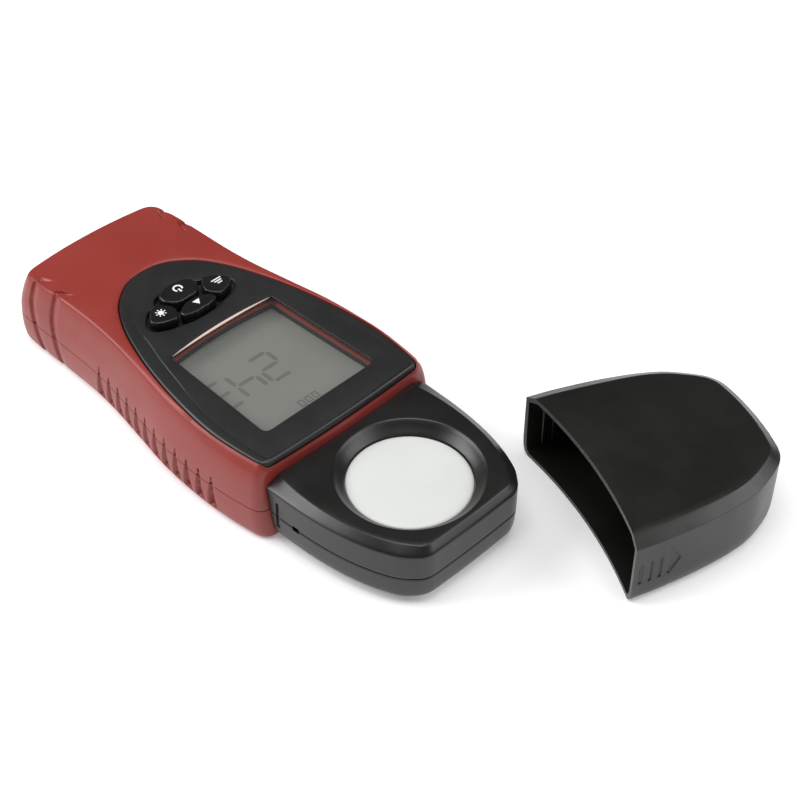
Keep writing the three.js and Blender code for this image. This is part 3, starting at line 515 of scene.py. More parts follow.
PLATE_CENTRE = (14.0, 0.0)
FLOOR_TOP, FLOOR_BOTTOM = 25.1, 23.3
housing_plan = outline(HOUSING_SIDE, 1.1, 5, 3, 7, (40, 16, 330, 20, 46))
plate_fine = outline(PLATE_SIDE, 0.8, 2.4, counts=(60, 24, 420, 1, 1))
middle_x = (housing_plan[:, 0].min() + housing_plan[:, 0].max()) / 2


def housing_top(x):
    fall = np.clip((GRIP_DROP_START - x) / (GRIP_DROP_START - HOUSING_REAR), 0, 1.1)
    return HOUSING_TOP - GRIP_DROP * fall**2 - FRONT_DROP * smooth(*FRONT_DROP_SPAN, x)


def section_at(z):
    """The section's six values at a height."""
    return np.array([np.interp(z, SECTION[:, 3], column) for column in SECTION.T])


def section_rows(low, high, step=0.42):
    """Rows of the section between two heights."""
    line = spline(SECTION, 20)
    line = line[(line[:, 3] > low + 0.02) & (line[:, 3] < high - 0.02)]
    line = np.vstack([section_at(low), line, section_at(high)])
    lengths = np.concatenate([[0], np.cumsum(np.hypot(*np.diff(line[:, [0, 3]], axis=0).T))])
    at = np.linspace(0, lengths[-1], int(lengths[-1] / step) + 2)
    return np.stack([np.interp(at, lengths, column) for column in line.T], 1)


WEDGES, WEDGE_START, WEDGE_PITCH = 12, -17.1, 5.6
WEDGE_HALF, WEDGE_LOW, WEDGE_TIP, WEDGE_DEPTH = 2.3, 3.0, 15.6, 1.6
# Each groove: where it crosses the shoulder, and how far it leans forwards at its lower end.
HOOKS = ((-54.5, 4.5), (-43.4, 2.9))
HOOK_DEPTH, HOOK_REACH, HOOK_TURN = 0.85, 5.6, 3.6


def relief(x, y, z, on_top):
    """How far the skin lies below its smooth surface: wedge recesses and hooked grooves."""
    depth = np.zeros(len(x))
    if not on_top:
        for i in range(WEDGES):
            share = np.clip((z - WEDGE_LOW) / (WEDGE_TIP - WEDGE_LOW), 0, 1)
            half = WEDGE_HALF * (1 - share) + 0.12
            across = (x - (WEDGE_START + i * WEDGE_PITCH)) / half
            slope = smooth(-1.1, -0.55, across) * np.clip((1 - across) / 1.5, 0, 1)
            inside = smooth(WEDGE_LOW - 1, WEDGE_LOW, z) * smooth(WEDGE_TIP + 0.5, WEDGE_TIP - 0.6, z)
            depth = np.maximum(depth, WEDGE_DEPTH * slope * inside * (np.abs(y) > 25) * (1 - 0.45 * share))
    reach = np.clip(29.2 - np.abs(y), 0, 12) if on_top else np.zeros(len(x))
    for start, lean in HOOKS:
        line = start + lean * np.clip((20 - z) / 17, 0, 1) - 0.12 * reach
        line = line + HOOK_TURN * smooth(4.0, 5.4, reach)
        ahead = x - line
        shape = smooth(-0.3, 0.15, ahead) * np.clip(1 - ahead / 4.2, 0, 1) ** 1.5
        fade = smooth(HOOK_REACH + 0.5, HOOK_REACH - 0.6, reach) * (np.abs(y) > 18)
        depth = np.maximum(depth, HOOK_DEPTH * shape * fade)
    return depth


def housing_row(inset, cheek, front, z, draw, along):
    way = normals(housing_plan)
    depth = inset + (cheek - inset) * smooth(*CHEEK_SPAN, housing_plan[:, 0])
    depth += (front - depth) * np.clip(way[:, 0], 0, 1) ** 2
    ring = grown(housing_plan, -depth)
    x = ring[:, 0] + (middle_x - ring[:, 0]) * along
    y = ring[:, 1] * (1 - draw)
    share = np.clip((z - 15) / (HOUSING_TOP - 15), 0, 1)
    height = z - (HOUSING_TOP - housing_top(x)) * share
    return np.stack([x, y], 1), height


def housing_rings(skin, rows):
    way = normals(housing_plan)
    slope = np.gradient(rows[:, 0]), np.gradient(rows[:, 3])
    rings = []
    for row, rise_in, rise_z in zip(rows, *slope):
        xy, height = housing_row(*row)
        size = math.hypot(rise_in, rise_z)
        depth = relief(xy[:, 0], xy[:, 1], height, False)
        xy = xy - way * (depth * rise_z / size)[:, None]
        rings.append(skin.ring(xy, height - depth * max(0, rise_in) / size))
    return rings


# The upper shell: up the outside, over the shoulder to the arch, and back down the inside.
upper = Skin()
rings = housing_rings(upper, section_rows(SPLIT_Z + GAP, 28.0))
shoulder, _ = housing_row(*SECTION[-1])
rim = cast(shoulder, grown(plate_fine, GAP), PLATE_CENTRE)
rim_way = normals(rim)
rear_share = smooth(12, -26, rim[:, 0])
roll_width = 0.35 + 1.9 * rear_share
roll_drop = 0.4 + 0.25 * rear_share
roll_start = rim + rim_way * roll_width[:, None]
for t in np.linspace(0, 1, 18)[1:]:
    xy = shoulder + (roll_start - shoulder) * t
    z = housing_top(xy[:, 0]) - 0.30 * (1 - t) ** 2
    depth = relief(xy[:, 0], xy[:, 1], z, True)
    rings.append(upper.ring(xy, z - depth))
for a in np.linspace(0, math.pi / 2, 7)[1:]:
    xy = rim + rim_way * (roll_width * (1 - math.sin(a)))[:, None]
    rings.append(upper.ring(xy, housing_top(xy[:, 0]) - roll_drop * (1 - math.cos(a))))
rings.append(upper.ring(rim, FLOOR_TOP))
ledge = grown(rim, -3.4)
rings += [upper.ring(ledge, FLOOR_TOP), upper.ring(ledge, FLOOR_BOTTOM)]
for inset, front, z in (
    (5.2, 5.0, FLOOR_BOTTOM), (4.4, 5.0, 20.5), (3.4, 4.4, 17), (WALL, 3.8, SPLIT_Z + GAP),
):
    xy, height = housing_row(inset, inset, front, z, 0, 0)
    rings.append(upper.ring(xy, height))
upper.stack([*rings, rings[0]])
upper_shell = upper.object("upper_shell")

# The lower shell: a tub with its underside, screw columns and the bay for the battery.
NECK_HALF, NECK_LOW, NECK_HIGH = 28.0, 5.0, 21.0
HOUSING_SCREWS = [(-50, 24.4), (-50, -24.4), (50, 31.2), (50, -31.2)]
COVER_END, COVER_HALF, TONGUE = -8.6, 17.6, 1.6
BAY = (-60.2, -10.6, 16.8)
lower = Skin()
rings = housing_rings(lower, section_rows(0.0, SPLIT_Z))
base = np.array(lower.points)[rings[0]][:, :2]
rings = [lower.ring((base - (middle_x, 0)) * 0.7 + (middle_x, 0), 0), *rings]
lower.fill(rings[0], up=False)
inside = []
for inset, front, z, draw in (
    (WALL, 3.8, SPLIT_Z, 0), (2.3, 3.0, 6.0, 0), (3.1, 3.1, 3.4, 0), (3.2, 3.2, WALL, 0.02),
):
    xy, height = housing_row(inset, inset, front, z, draw, draw)
    inside.append(lower.ring(xy, z))
lower.stack([*rings, *inside])
lower.fill(inside[-1])
lower_shell = lower.object("lower_shell")
extra = Skin()
for x, y in HOUSING_SCREWS:
    extra.prism(circle(3.8, (x, y), 40), 1.0, SPLIT_Z - 0.02)
carve(lower_shell, extra, "UNION")
for ring, low, high in (
    (rectangle(BAY[0] - 1.2, BAY[1] + 1.2, -BAY[2] - 1.2, BAY[2] + 1.2), 1.9, 10.5),
    (rectangle(-59, COVER_END + 2.5, -21.5, 21.5), 1.5, 3.61),
):
    extra = Skin()
    extra.prism(ring, low, high)
    carve(lower_shell, extra, "UNION")
cuts = Skin()
slim = rectangle(-80, COVER_END + GAP, -COVER_HALF - GAP, COVER_HALF + GAP)
wide = rectangle(-81, COVER_END + GAP + 0.02, -COVER_HALF - TONGUE - GAP, COVER_HALF + TONGUE + GAP)
cuts.stepped([(slim, -1), (slim, 0.9), (wide, 0.9), (wide, 2.4)])
carve(lower_shell, cuts)
cuts = Skin()
for x, y in HOUSING_SCREWS:
    bore, shank = circle(2.9, (x, y), 36), circle(1.5, (x, y), 36)
    cuts.stepped([(bore, -1), (bore, 6), (shank, 6), (shank, 15)])
carve(lower_shell, cuts)
cuts = Skin()
cuts.prism(rectangle(*BAY[:2], -BAY[2], BAY[2]), -1, 30)
carve(lower_shell, cuts)
neck_cut = Skin()
neck_cut.prism(rectangle(60, 75, -NECK_HALF - 0.35, NECK_HALF + 0.35), NECK_LOW - 0.35, NECK_HIGH + 0.35)
carve(lower_shell, neck_cut)
carve(upper_shell, neck_cut)
piece(upper_shell, RED, "meter", "red_plastic", "upper_housing", angle=38)
piece(lower_shell, RED, "meter", "red_plastic", "lower_housing", angle=38)

# ---------------------------------------------------------------- faceplate
PLATE_TOP, PLATE_BOTTOM = 28.6, 25.4
PANEL_SIDE = [
    [60.9, 29.7], [52, 30.4], [44, 30.5], [35, 29.8], [25, 28.3], [17, 26.4], [6.5, 24.0],
    [-1, 21.8], [-7, 20.4], [-12.5, 19.0], [-17.2, 17.0], [-21.0, 12.6], [-24.0, 6.8], [-25.2, 0],
]
POCKET_FLOOR = 26.7
KEY_TOP, KEY_BOTTOM, STEM_END = 31.0, 27.9, 22.2


def mirrored_half(half):
    """A closed outline from a half that starts and ends on the X axis."""
    return np.array(half + [[x, -y] for x, y in half[-2:0:-1]], float)


def rounded(points, reach, per=9):
    """A polygon with its corners rounded."""
    made = []
    for before, corner, after in zip(np.roll(points, 1, 0), points, np.roll(points, -1, 0)):
        start, end = (
            corner + (other - corner) * min(0.45, reach / np.linalg.norm(other - corner))
            for other in (before, after)
        )
        made.append(bezier(start, corner, end, per))
    return np.vstack(made)


POCKET = rounded(mirrored_half([
    [-0.9, 0], [-1.1, 4.5], [-1.9, 8], [-3, 12.4], [-5.2, 16.6], [-7.9, 17.8], [-10.8, 16.2],
    [-14.2, 12.8], [-15.2, 9], [-17.6, 7.4], [-19, 3.5], [-19.4, 0],
]), 1.5)
SIDE_KEY = np.array([
    [-3.5, 8.5], [-4.2, 12], [-6, 15.6], [-7.8, 16.5], [-10, 15.2], [-13, 12.1], [-13.6, 9.3],
    [-12.3, 8.2], [-8, 5.9],
])
POWER_HALF = [[-9, 0], [-9.3, 4.3], [-12.4, 6.9], [-14.6, 7], [-16.4, 6.3], [-17.9, 2.8], [-18.2, 0]]
HOLD_HALF = [[-1.9, 0], [-2.1, 4.4], [-3, 6.9], [-5, 6.9], [-6.9, 4.4], [-7.9, 0]]
KEY_SPOTS = {
    "power_key": (-13.8, 0, mirrored_half(POWER_HALF)), "hold_key": (-4.9, 0, mirrored_half(HOLD_HALF)),
    "mode_key": (-8.8, 12, SIDE_KEY), "light_key": (-8.8, -12, SIDE_KEY[::-1] * [1, -1]),
}


WINDOW_REAR, WINDOW_FRONT = 7, 52.3
WINDOW_REAR_HALF, WINDOW_FRONT_HALF = 20.9, 22.6
WINDOW_BOW, WINDOW_CORNER = 1.6, 2.6


def window_outline(grow, per=14):
    rear, front = WINDOW_REAR - grow, WINDOW_FRONT + grow
    rear_half, front_half = WINDOW_REAR_HALF + grow, WINDOW_FRONT_HALF + grow
    corner = WINDOW_CORNER
    edge = bezier((rear, rear_half), (rear - 2 * WINDOW_BOW, 0), (rear, -rear_half), 41)
    side = np.linspace(0, 1, 30)[1:, None]
    a, b = np.array([front, front_half]), np.array([rear, rear_half])
    start = a + (b - a) / np.linalg.norm(b - a) * corner
    left = start + (b - start) * side
    turn_left = bezier((front, front_half - corner), a, start, per)
    right_side = (left * [1, -1])[::-1]
    turn_right = (turn_left * [1, -1])[::-1]
    return np.vstack([turn_left, left[:-1], edge, right_side[1:], turn_right])


plate = Skin()
edge_ring = outline(PLATE_SIDE, 0.8, 2.4, counts=(50, 18, 300, 1, 1))
panel_fine = outline(PANEL_SIDE, 0.8, 2, counts=(50, 18, 400, 1, 1))
panel_ring = cast(edge_ring, panel_fine, PLATE_CENTRE)
# The band outside the panel: nearly flat with a rounded edge on the sides, a full round at the front.
PLATE_RIM, PLATE_FRONT_RIM, BAND_LEVEL = 27.2, 26.2, 28.28
front_face = np.clip(normals(edge_ring)[:, 0], 0, 1) ** 4 * smooth(56, 61, edge_ring[:, 0])
rim_height = PLATE_RIM + (PLATE_FRONT_RIM - PLATE_RIM) * smooth(*FRONT_DROP_SPAN, edge_ring[:, 0])
side_span = 0.16 + 0.14 * smooth(0, 40, edge_ring[:, 0])
edge_span = side_span + (0.92 - side_span) * front_face
rows = [plate.ring(edge_ring, PLATE_BOTTOM), plate.ring(edge_ring, rim_height)]
for a in np.linspace(0, math.pi / 2, 10)[1:]:
    xy = edge_ring + (panel_ring - edge_ring) * (edge_span * (1 - math.cos(a)))[:, None]
    rows.append(plate.ring(xy, rim_height + (BAND_LEVEL - rim_height) * math.sin(a)))
# The band runs level, then rises to the panel.
band_shares = [edge_span + (0.93 - edge_span) * part for part in (0.5, 0.9)]
band_shares += [np.full(len(edge_ring), part) for part in (0.94, 0.97, 1.0)]
for share, z in zip(band_shares, (BAND_LEVEL, BAND_LEVEL, 28.24, 28.45, 28.58)):
    rows.append(plate.ring(edge_ring + (panel_ring - edge_ring) * share[:, None], z))
rows.append(plate.ring(grown(panel_ring, -0.2), PLATE_TOP))
plate.stack(rows)


def hole(skin, ring, top, bottom, soft=0.25, steps=4):
    """Rings down into a hole whose rim is rounded."""
    made = []
    for a in np.linspace(0, math.pi / 2, steps):
        made.append(skin.ring(grown(ring, soft * (1 - math.sin(a))), top - soft * (1 - math.cos(a))))
    made.append(skin.ring(ring, bottom))
    return skin.stack(made)


window_seat = hole(plate, window_outline(0), PLATE_TOP, 27.95, 0.18)
window_seat += plate.stack(
    [window_seat[-1], *(plate.ring(window_outline(1.8), z) for z in (27.95, PLATE_BOTTOM))]
)
pocket = hole(plate, POCKET, PLATE_TOP, POCKET_FLOOR, 0.35)
stems = [
    [plate.ring(circle(2.6, (x, y), 32), z) for z in (POCKET_FLOOR, PLATE_BOTTOM)]
    for x, y, _ in KEY_SPOTS.values()
]
for top, bottom in stems:
    plate.wall(top, bottom)
plate.fill(rows[-1], [window_seat[0], pocket[0]])
plate.fill(pocket[-1], [s[0] for s in stems])
plate.fill(rows[0], [window_seat[-1], *(s[1] for s in stems)], up=False)
piece(plate.object("faceplate_panel"), PANEL, "meter", "panel_black", "faceplate", angle=40)

# ---------------------------------------------------------------- window and display
lens = Skin()
base = [lens.ring(window_outline(1.5), 26.6), lens.ring(window_outline(1.5), 27.6)]
base += [lens.ring(window_outline(-0.12), 27.6), lens.ring(window_outline(-0.12), 28.1)]
base.append(lens.ring(window_outline(-0.3), 28.25))
lens.stack(base)
lens.fill(base[0], up=False)
lens.fill(base[-1])
piece(lens.object("window_lens"), CLEAR, "meter", "clear_window", "display_window")

crescent = Skin()
bow_line = bezier((6.98, 20.2), (3.95, 0), (6.98, -20.2), 41)
chord = bezier((7.03, -20.2), (5.7, 0), (7.03, 20.2), 41)
crescent.prism(np.vstack([bow_line, chord[1:-1]]), 28.27, 28.55)
piece(crescent.object("window_lit_edge"), GLINT, "meter", "red_plastic")


def window_frame(name, look, slot, low, high, inner, outer=1.45):
    made = Skin()
    made.prism(window_outline(outer), low, high, [window_outline(inner)])
    piece(made.object(name), look, "meter", slot)


window_frame("display_well_red", RED_TRIM, "red_plastic", 25.2, 26.4, 0.1)
window_frame("display_well_dark", DARK_TRIM, "black_plastic", 23.1, 24.9, 0.25)

DIGIT_X, DIGIT_Y, DIGIT_HIGH, DIGIT_WIDE, DIGIT_PITCH = 20.6, 5.7, 12.4, 7.4, 9.8
SEGMENTS = {"2": "abged", "4": "fgbc", "3": "abgcd"}
STROKE = 1.4


def stroke(a, b, width):
    """A bar with pointed ends from a to b."""
    a, b = np.array(a, float), np.array(b, float)
    along = (b - a) / np.linalg.norm(b - a)
    side = np.array([-along[1], along[0]]) * width / 2
    near, far = a + along * width / 2, b - along * width / 2
    return np.array([a, near - side, far - side, b, far + side, near + side])


def digit_strokes(text, x, y, high, wide, width):
    """Seven-segment strokes. The digit's top is towards +X and its right side towards -Y."""
    gap = width * 0.62
    corners = {"tl": (x + high, y), "tr": (x + high, y - wide), "ml": (x + high / 2, y),
               "mr": (x + high / 2, y - wide), "bl": (x, y), "br": (x, y - wide)}
    ends = {"a": ("tl", "tr"), "b": ("tr", "mr"), "c": ("mr", "br"), "d": ("br", "bl"),
            "e": ("bl", "ml"), "f": ("ml", "tl"), "g": ("mr", "ml")}
    made = []
    for name in SEGMENTS[text]:
        p, q = (np.array(corners[k]) for k in ends[name])
        along = (q - p) / np.linalg.norm(q - p)
        made.append(stroke(p + along * gap / 2, q - along * gap / 2, width))
    return made


digits = Skin()
for i, text in enumerate("243"):
    for points in digit_strokes(text, DIGIT_X, DIGIT_Y - i * DIGIT_PITCH, DIGIT_HIGH, DIGIT_WIDE, STROKE):
        digits.prism(points, 23.01, 23.04)
for x, y in ((44.6, 4.4), (44.6, 1.6), (44.6, -1.2)):
    digits.prism(
        rectangle(x, x + 3.0, y - 2.1, y), 23.01, 23.04, [rectangle(x + 0.5, x + 2.5, y - 1.6, y - 0.5)]
    )
piece(digits.object("display_digits"), LINT, "meter", "lcd_glass")


# ---------------------------------------------------------------- keys
def key_cap(name):
    x, y, shape = KEY_SPOTS[name]
    spokes = circle(1, (x, y), 180)
    edge = cast(spokes, rounded(shape, 1.0), (x, y))
    made = Skin()

    def ring(inset, z):
        return made.ring(edge - (spokes - (x, y)) * inset, z)
    rows = [ring(0.15, KEY_BOTTOM), ring(0, KEY_BOTTOM + 0.15), ring(0.02, KEY_TOP - 0.75)]
    rows += [
        ring(i, KEY_TOP - d)
        for i, d in ((0.07, 0.48), (0.17, 0.29), (0.32, 0.15), (0.5, 0.07), (0.75, 0.05))
    ]
    rows.append(ring(1.2, KEY_TOP - 0.06))
    made.stack(rows)
    made.fill(rows[-1])
    stem = [made.ring(circle(2.1, KEY_SPOTS[name][:2], 32), z) for z in (STEM_END, KEY_BOTTOM)]
    made.wall(*stem)
    made.fill(stem[0], up=False)
    made.fill(rows[0], [stem[1]], up=False)
    piece(made.object(name + "_cap"), KEY_BLACK, name + "_body", "key_black", name, angle=35)


def arc(centre, radius, width, start, end, count=26):
    a = np.radians(np.linspace(start, end, count))
    way = np.stack([np.cos(a), np.sin(a)], 1)
    outer = np.array(centre) + way * (radius + width / 2)
    inner = np.array(centre) + way * (radius - width / 2)
    return np.vstack([outer, inner[::-1]])


def bar(a, b, width):
    a, b = np.array(a, float), np.array(b, float)
    along = (b - a) / np.linalg.norm(b - a)
    side = np.array([-along[1], along[0]]) * width / 2
    return np.array([a - side, b - side, b + side, a + side])


ICON_LOW, ICON_HIGH = KEY_TOP - 0.09, KEY_TOP - 0.02
icons = {name: [] for name in KEY_SPOTS}
icons["power_key"] = [arc((-14.6, 0.4), 1.4, 0.6, 45, 315), bar((-14.3, 0.4), (-12.6, 0.4), 0.6)]
icons["hold_key"] = [np.array([[-3.9, 0.6], [-6.2, 2.0], [-6.2, -0.8]])]
sun = (-9.1, -11.2)
icons["light_key"] = [circle(1.0, sun, 24)]
for k in range(8):
    a = k * math.pi / 4
    way = np.array([math.cos(a), math.sin(a)])
    icons["light_key"].append(bar(np.array(sun) + way * 1.2, np.array(sun) + way * 1.8, 0.4))
for k in range(3):
    x = -9.6 + k * 1.0
    icons["mode_key"].append(bar((x, 10.2 + 0.5 * k), (x, 14.0 - 0.5 * k), 0.5))
for name, shapes in icons.items():
    key_cap(name)
    mark = Skin()
    for shape in shapes:
        mark.prism(shape, ICON_LOW, ICON_HIGH)
    piece(mark.object(name + "_mark"), INK, name + "_body", "white_plastic")

# ---------------------------------------------------------------- sensor head
DISC = (90.0, 0.0)
DISH_RADIUS = 23.0
HEAD_TOP, HEAD_EDGE, HEAD_SPLIT = 23.0, 20.8, 11.5
HEAD_REAR = 66.0
HEAD_SIDE = [
    [116, 19.2], [110.1, 24.3], [104.7, 27.0], [99, 29.0], [92.4, 30.6], [85.5, 31.7],
    [78, 32.4], [70, 32.7], [HEAD_REAR, 32.75],
]
HEAD_TOP_SIDE = [
    [113.9, 17.7], [107.9, 21.9], [102.5, 24.7], [96.5, 26.8], [90, 28.1], [82, 28.9],
    [74, 28.9], [69, 28.3], [HEAD_REAR, 27.7],
]
HEAD_COUNTS = (44, 14, 190, 1, 60)


def shrunk(side, inset):
    """The side points moved in, with the rear end left where it is."""
    made = [[x, half - inset] for x, half in side]
    made[0][0] -= inset
    return made


def head_ring(inset, z, share=0.0, behind=0.0):
    """The head's outline at height z. share runs from 0 for the outer edge to 1 for the top face's edge.
    The rear end follows the housing's front face, or lies that far behind it."""
    low = outline(shrunk(HEAD_SIDE, inset), 0.4, 3.4, counts=HEAD_COUNTS)
    high = outline(shrunk(HEAD_TOP_SIDE, inset), 0.4, 2.6, counts=HEAD_COUNTS)
    ring = low + (high - low) * share
    face = HOUSING_FRONT + 1.1 * (1 - (ring[:, 1] / 35.6) ** 2) + GAP - section_at(z)[2] + behind
    pull = np.clip((80 - ring[:, 0]) / (80 - HEAD_REAR), 0, 1)
    ring[:, 0] += (face - HEAD_REAR) * pull
    return ring


LIP = 0.16  # half the parting gap between the two head shells
INSIDE = 2.6  # how far the inside lies from the rear face
head_upper = Skin()
rows = [head_upper.ring(head_ring(0.18, 11.7), HEAD_SPLIT + LIP)]
rows.append(head_upper.ring(head_ring(0.02, 11.9), HEAD_SPLIT + 0.4))
for z in np.linspace(12.4, HEAD_EDGE - 0.25, 12):
    rows.append(head_upper.ring(head_ring(0, z), z))
for share, z in (
    (0.02, 20.72), (0.07, 20.9), (0.3, 21.45), (0.6, 22.12), (0.9, 22.78), (0.97, 22.93), (1.03, HEAD_TOP),
):
    rows.append(head_upper.ring(head_ring(0, z, share), z))
edge = head_ring(0, HEAD_TOP, 1.03)
dish_way = edge - np.array(DISC)
room_left = np.linalg.norm(dish_way, axis=1)
dish_way /= room_left[:, None]
rim_radius = np.minimum(DISH_RADIUS, room_left - 0.9)
for t in (0.35, 0.7, 0.93):
    rows.append(head_upper.ring(edge + (DISC + dish_way * (rim_radius + 0.3)[:, None] - edge) * t, HEAD_TOP))
for more, z in ((0.3, 23.0), (0.05, 22.96), (-0.25, 22.78)):
    rows.append(head_upper.ring(DISC + dish_way * (rim_radius + more)[:, None], z))
for radius, z in (
    (22.0, 21.9), (21.0, 21.0), (20.2, 20.3), (19.75, 19.95), (19.5, 19.7), (19.45, 19.2), (19.45, 17.8),
):
    rows.append(head_upper.ring(DISC + dish_way * np.minimum(radius, rim_radius - 0.5)[:, None], z))
wall_line = head_ring(2.2, HEAD_TOP - 2.0, 0.35, INSIDE)
limit = np.linalg.norm(cast(edge, wall_line, DISC) - DISC, axis=1)
for z in (17.8, HEAD_TOP - 2.0):
    rows.append(head_upper.ring(DISC + dish_way * np.minimum(25.4, limit - 0.15)[:, None], z))
rows.append(head_upper.ring(cast(edge, wall_line, DISC), HEAD_TOP - 2.0))
rows.append(head_upper.ring(head_ring(2.0, 11.7, 0, INSIDE), HEAD_SPLIT + LIP))
head_upper.stack([*rows, rows[0]])
head_top = head_upper.object("head_upper")

head_lower = Skin()
rows = []
for inset, z in ((1.9, 3.0), (1.4, 3.12), (0.95, 3.5), (0.6, 4.2), (0.4, 5.2),
                 (0.22, 6.8), (0.1, 8.8), (0.04, 10.4),
                 (0.0, 11.0), (0.12, HEAD_SPLIT - LIP)):
    rows.append(head_lower.ring(head_ring(inset, z), z))
head_lower.fill(rows[0], up=False)
for inset, z in ((2.0, HEAD_SPLIT - LIP), (2.2, 7.4), (3.4, 5.2)):
    rows.append(head_lower.ring(head_ring(inset, z, 0, INSIDE), z))
head_lower.stack(rows)
head_lower.fill(rows[-1])
head_base = head_lower.object("head_lower")

neck = Skin()
ring = np.array([
    [68.9, -28], [68.9, 28], [60.2, 28], [60.2, 31], [57.5, 31], [57.5, -31], [60.2, -31], [60.2, -28],
], float)
neck.prism(ring, HEAD_SPLIT + LIP + 0.02, NECK_HIGH - 0.05)
carve(head_top, neck, "UNION")
neck = Skin()
neck.prism(ring, NECK_LOW, HEAD_SPLIT - LIP - 0.02)
carve(head_base, neck, "UNION")
hollow = Skin()
hollow.prism(rectangle(50, 71.2, -26, 26), 7, 17.2)
carve(head_top, hollow)
carve(head_base, hollow)
posts = Skin()
HEAD_SCREWS = [(109.2, 15), (109.2, -15)]
for x, y in HEAD_SCREWS:
    posts.prism(circle(3.4, (x, y), 32), 4, HEAD_SPLIT - LIP - 0.03)
for x, y in ((76, 12), (76, -12), (101, 9), (101, -9)):
    posts.prism(circle(2, (x, y), 24), 4.5, 7.7)
carve(head_base, posts, "UNION")
latch = Skin()
drill = Skin()
for x, y in HEAD_SCREWS:
    bore, shank = circle(2.9, (x, y), 32), circle(1.5, (x, y), 32)
    drill.stepped([(bore, 0), (bore, 6.6), (shank, 6.6), (shank, 15)])
for side in (-1, 1):
    # a small latch notch in the parting line and an upright slot beside the housing
    latch.prism(rectangle(74.0, 76.6, side * 32.2 - 0.9, side * 32.2 + 0.9), 10.6, 12.5)
    latch.prism(rectangle(67.1, 68.5, side * 33.1 - 0.9, side * 33.1 + 0.9), 7.0, 17.2)
carve(head_base, drill)
carve(head_base, latch)
carve(head_top, latch)
piece(head_top, BLACK, "meter", "black_plastic", "head_upper_shell", angle=30)
piece(head_base, BLACK, "meter", "black_plastic", "head_lower_shell", angle=30)

disc = Skin()
rows = []
for radius, z in ((20.8, 16.2), (20.8, 17.4), (19.1, 17.4), (19.1, 19.0),
                  (19.0, 19.2), (18.7, 19.42), (18.2, 19.58),
                  (17, 19.74), (15, 19.93), (12.5, 20.1), (9.5, 20.24), (6, 20.34), (2.5, 20.39)):
    rows.append(disc.ring(circle(radius, DISC, 160), z))
disc.stack(rows)
disc.fill(rows[0], up=False)
disc.fill(rows[-1])
piece(disc.object("opal_diffuser"), OPAL, "meter", "diffuser_white", "diffuser_disc")

# ---------------------------------------------------------------- protective cap
CAP_PLACE, CAP_TURN = (124.7, 35.5), 68.7
CAP_TOP, CAP_CROWN, CAP_WALL = 25.7, 0.8, 1.4
CAP_SIDE = [
    [58.6, 18.6], [53.3, 23.0], [45.1, 27.9], [36.8, 30.6], [29.2, 32.1], [21.9, 33.2],
    [14.8, 33.9], [7.9, 34.4], [0, 34.6], [-3, 34.7],
]
CAP_TOP_SIDE = [
    [55.6, 16.9], [50.6, 20.8], [44.2, 24.5], [37.6, 26.8], [30.6, 28.1], [23.6, 28.9],
    [16.4, 29.6], [9.2, 30.2], [0, 30.6], [-3, 30.7],
]
CAP_COUNTS = (56, 14, 260, 1, 50)
cap_spin = math.radians(CAP_TURN)


def cap_xy(xy):
    c, s = math.cos(cap_spin), math.sin(cap_spin)
    return np.asarray(xy) @ np.array([[c, s], [-s, c]]) + np.array(CAP_PLACE)


def cap_relief(x, y, z):
    """Grip bars and an arrow that points to the nose, sunk in both sides."""
    depth = np.zeros(len(x))
    for k, place in enumerate((2.9, 6.1, 9.4, 12.6)):
        top = 18.4 if k == 3 else 16.2
        depth = np.maximum(depth, smooth(0.62, 0.34, np.abs(x - place)) * (7.8 < z) * (z < top))
    half = 5.4 * np.clip(1 - (x - 12.6) / 4.0, 0, 1)
    arrow = (x > 12.6) * smooth(0, -0.5, np.abs(z - 12.9) - half)
    return 0.38 * np.maximum(depth, arrow) * (np.abs(y) > 28)


def cap_ring(inset, share=0.0):
    low = outline(shrunk(CAP_SIDE, inset), 2, 4.2, counts=CAP_COUNTS)
    high = outline(shrunk(CAP_TOP_SIDE, inset), 2, 3.2, counts=CAP_COUNTS)
    return low + (high - low) * share


outer = Skin()
rows = []
for inset, z in (
    (3.2, 0), (2.6, 0.12), (1.9, 0.45), (1.3, 0.95), (0.8, 1.7), (0.4, 2.8), (0.15, 4.4), (0.02, 6.4),
):
    rows.append(outer.ring(cap_xy(cap_ring(inset)), z))
plain = cap_ring(0)
way = normals(plain)
for z in [7.4, 7.75, *np.linspace(7.85, 18.35, 27), 18.5, 18.8, 20, 21.5, 22.8, 23.2]:
    sunk = plain - way * cap_relief(plain[:, 0], plain[:, 1], z)[:, None]
    rows.append(outer.ring(cap_xy(sunk), z))
for share, z in (
    (0.02, 23.36), (0.08, 23.5), (0.3, 24.0), (0.6, 24.72), (0.9, 25.45), (0.97, 25.6), (1.03, 25.7),
):
    rows.append(outer.ring(cap_xy(cap_ring(0, share)), z))
flat = cap_ring(0, 1.03)
for t in (0.93, 0.8, 0.6, 0.4, 0.22):
    rows.append(outer.ring(cap_xy((flat - [27, 0]) * t + [27, 0]), CAP_TOP + CAP_CROWN * (1 - t**2)))
outer.stack(rows)
outer.fill(rows[0], up=False)
outer.fill(rows[-1])
cap = outer.object("cap_shell")

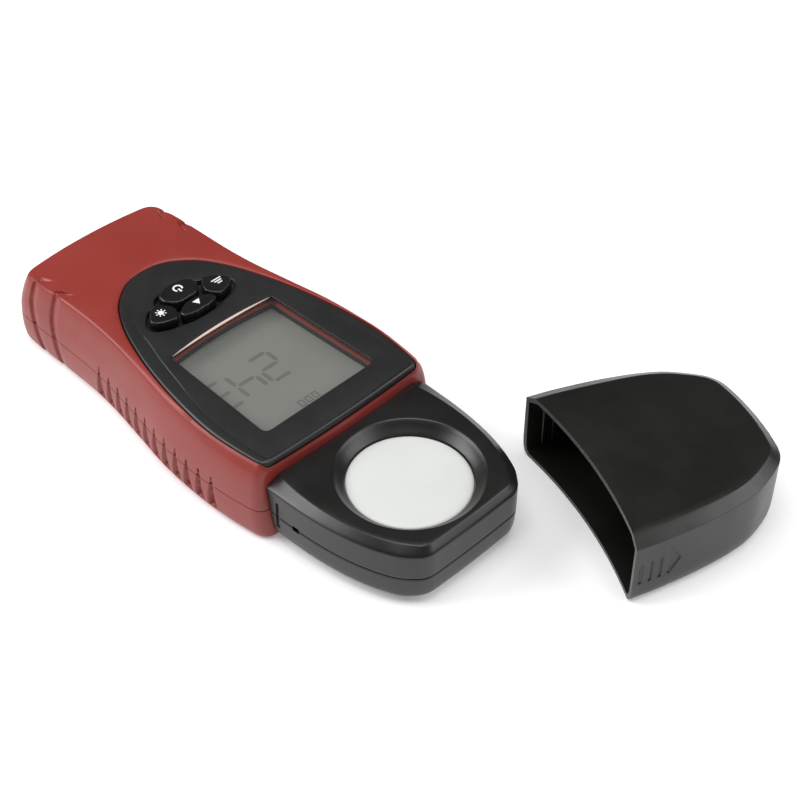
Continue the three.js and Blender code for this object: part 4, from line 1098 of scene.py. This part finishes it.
room = Skin()
rows = []
for inset, z in (
    (3.4, CAP_WALL), (2.2, 2.2), (1.6, 4.0), (CAP_WALL, 7.0),
    (CAP_WALL, 12), (CAP_WALL, 18), (CAP_WALL, 22.4),
):
    ring = cap_ring(inset)
    for place in (6.5, 10.0, 13.5):
        rib = smooth(0.75, 0.45, np.abs(ring[:, 0] - place)) * (np.abs(ring[:, 1]) > 25) * (3 < z < 20)
        ring = ring - normals(ring) * (0.4 * rib)[:, None]
    ring[ring[:, 0] < -2.9, 0] -= 3
    rows.append(room.ring(cap_xy(ring), z))
for share, z in ((0.3, 22.9), (0.95, 24.3)):
    ring = cap_ring(CAP_WALL, share)
    ring[ring[:, 0] < -2.9, 0] -= 3
    rows.append(room.ring(cap_xy(ring), z))
room.stack(rows)
room.fill(rows[0], up=False)
room.fill(rows[-1])
carve(cap, room)
mouth = Skin()
arc_line = bezier((-1, -40), (9, 0), (-1, 40), 120)
mouth.prism(cap_xy(np.vstack([arc_line, [[-12, 60], [-12, -60]]])), -4, 40)
carve(cap, mouth)
piece(cap, CAP_BLACK, "cap_body", "black_plastic", "protective_cap", angle=32)

# ---------------------------------------------------------------- carried-over CAD nodes
CARRIED = {
    "battery_cover": RED, "keypad_membrane": RUBBER, "lcd_panel": LCD, "backlight_panel": WHITE_PARTS,
    "lcd_frame": DARK_TRIM, "zebra_strip_rear": RUBBER, "zebra_strip_front": RUBBER, "main_board": BOARD,
    "controller_chip": KEY_BLACK, "sensor_connector": WHITE_PARTS, "battery_1": SLEEVE, "battery_2": SLEEVE,
    "battery_3": SLEEVE, "rear_contacts": STEEL, "front_contacts": STEEL, "battery_lead_red": WIRE_RED,
    "battery_lead_black": WIRE_BLACK, "sensor_board": BOARD, "photodiode": STEEL, "photopic_filter": FILTER,
    "ribbon_socket": WHITE_PARTS, "sensor_ribbon": RIBBON,
}
for kind, count in (("housing_screw", 4), ("head_screw", 2), ("board_screw", 2)):
    for i in range(count):
        CARRIED[f"{kind}_{i + 1}"] = STEEL
for name, look in CARRIED.items():
    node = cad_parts[name]
    node.data.materials.clear()
    node.data.materials.append(look.material)
    if name != "lcd_panel":
        bevel = node.modifiers.new("soft_edges", "BEVEL")
        bevel.width = 0.12 * MM
        bevel.segments = 2
        bevel.limit_method = "ANGLE"
        bevel.angle_limit = math.radians(40)

# ---------------------------------------------------------------- floor and finish
ground = Skin()
ground.prism(circle(2500, (60, 20), 96), -3, -0.02)
floor = ground.object("floor")
floor.data.materials.append(stone_floor().material)
